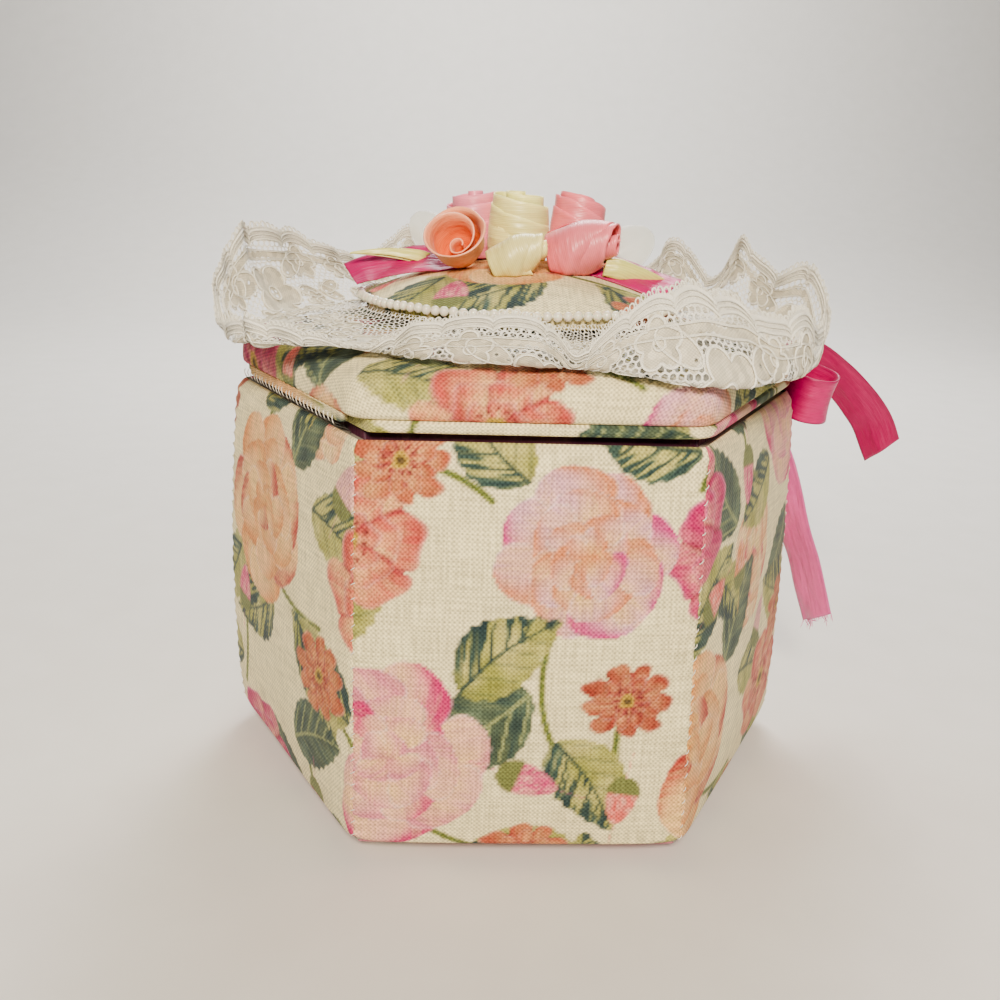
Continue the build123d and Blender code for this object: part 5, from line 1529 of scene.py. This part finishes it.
# The loop's ribbon seen along its width: out from the knot, round the end circle and back, then drooped. With it come
# the direction across the ribbon and how far out each place is.
def loopLine(side):
    b = bow
    (x0, y0), (x1, y1), r = b["foot"], b["end"], b["endRadius"]
    line = smoothLine([(x0 - 4.2, y0 + 0.8), (x0 - 1, y0 + 1.5), (x0 + 9, y0 + 4.2), (x0 + 19, y0 + 8.4),
                       (x1 - 4.5, y1 + r - 0.5), (x1 + 1.5, y1 + r), (x1 + r - 0.9, y1 + 3.0), (x1 + r, y1 - 0.8),
                       (x1 + r - 2.0, y1 - 4.6), (x1 + 0.5, y1 - r), (x1 - 5, y1 - r - 0.1), (x0 + 18, y0 - 1.6),
                       (x0 + 9, y0 - 2.2), (x0 - 1, y0 - 1.5), (x0 - 4.2, y0 - 0.8)], 150)
    droop = radians(b["droop"])
    out, away = line.T
    points = np.stack([side * (x0 + (out - x0) * cos(droop)), away, b["height"] - (out - x0) * sin(droop)], -1)
    return points, np.array([side * sin(droop), 0, cos(droop)]), out


for name, side in (("front", 1), ("rear", -1)):
    line, across, reach = loopLine(side)
    width = bow["width"] * (0.5 + 0.5 * eased(reach, 2, 20))      # gathered at the knot
    surface = ribbonSurface(line, across, width, bow["loopCurl"], bow["loopWave"], seed=7 + side)
    surface["points"] = bowPoints(surface["points"])
    loop = makePiece(f"bowLoop_{name}", twoFaced(surface, bow["ribbon"]), satins["rose"])
    claim(loop, "lid", "rose_ribbon", f"bow_loop_{name}")


# Loose threads where the light tail's cut end frays: from random places on it, ahead, drifting aside as k^2.
def frayedThreads(points):
    b = bow
    rng = np.random.default_rng(8)
    tip, before = points[-1], points[-4]
    pick = rng.integers(0, len(tip), b["frayed"])
    ahead = unit(tip - before)[pick]
    drift = rng.normal(0, b["frayDrift"], (b["frayed"], 3))
    k = np.linspace(0, 1, 6)[None, :, None]
    length = rng.uniform(*b["frayLength"], b["frayed"])[:, None, None]
    lines = tip[pick][:, None] - ahead[:, None] * 0.6 + (ahead[:, None] * k + drift[:, None] * k ** 2) * length
    return tubes(lines, b["frayThick"], 4)


for name, (knots, across, tint, finish, slotName) in bow["tails"].items():
    line = smoothLine(knots, 90)
    width = bow["width"] * (0.55 + 0.45 * eased(np.linspace(0, 1, len(line)), 0, 0.3))
    bend = bow["tailCurl"], bow["tailWave"], bow["tailSlant"]
    surface = ribbonSurface(line, np.array(across), width, *bend, len(name), tint)
    surface["points"] = bowPoints(surface["points"])
    parts = twoFaced(surface, bow["ribbon"])
    if name == "light":
        parts.append(frayedThreads(surface["points"]))
    tail = makePiece(f"bowTail_{name}", parts, satins[finish])
    claim(tail, "lid", slotName, f"bow_tail_{name}")


# The knot: a soft block whose section swells and draws in by a cosine along it, as the ribbon is pleated there.
def makeKnot():
    middle = np.array(bow["knotMiddle"])
    local = boxLoaf(bow["knotMiddle"], bow["knotHalf"], 26, 60, bow["knotPower"]) - middle
    local[..., 1:] *= 1 + 0.05 * np.cos(local[..., :1] * 3.1 + 0.5 * local[..., 2:]) * (np.abs(local[..., :1]) < 4)
    cloth = np.stack([local[..., 0], local[..., 2], 0 * local[..., 0]], -1)
    piece = makePiece("bowKnot", [{"points": bowPoints(local + middle), "cloth": cloth}], satins["rose"])
    claim(piece, "lid", "rose_ribbon", "bow_knot")


makeKnot()
print("keepsake box: roses, leaves, streamers and bow made")
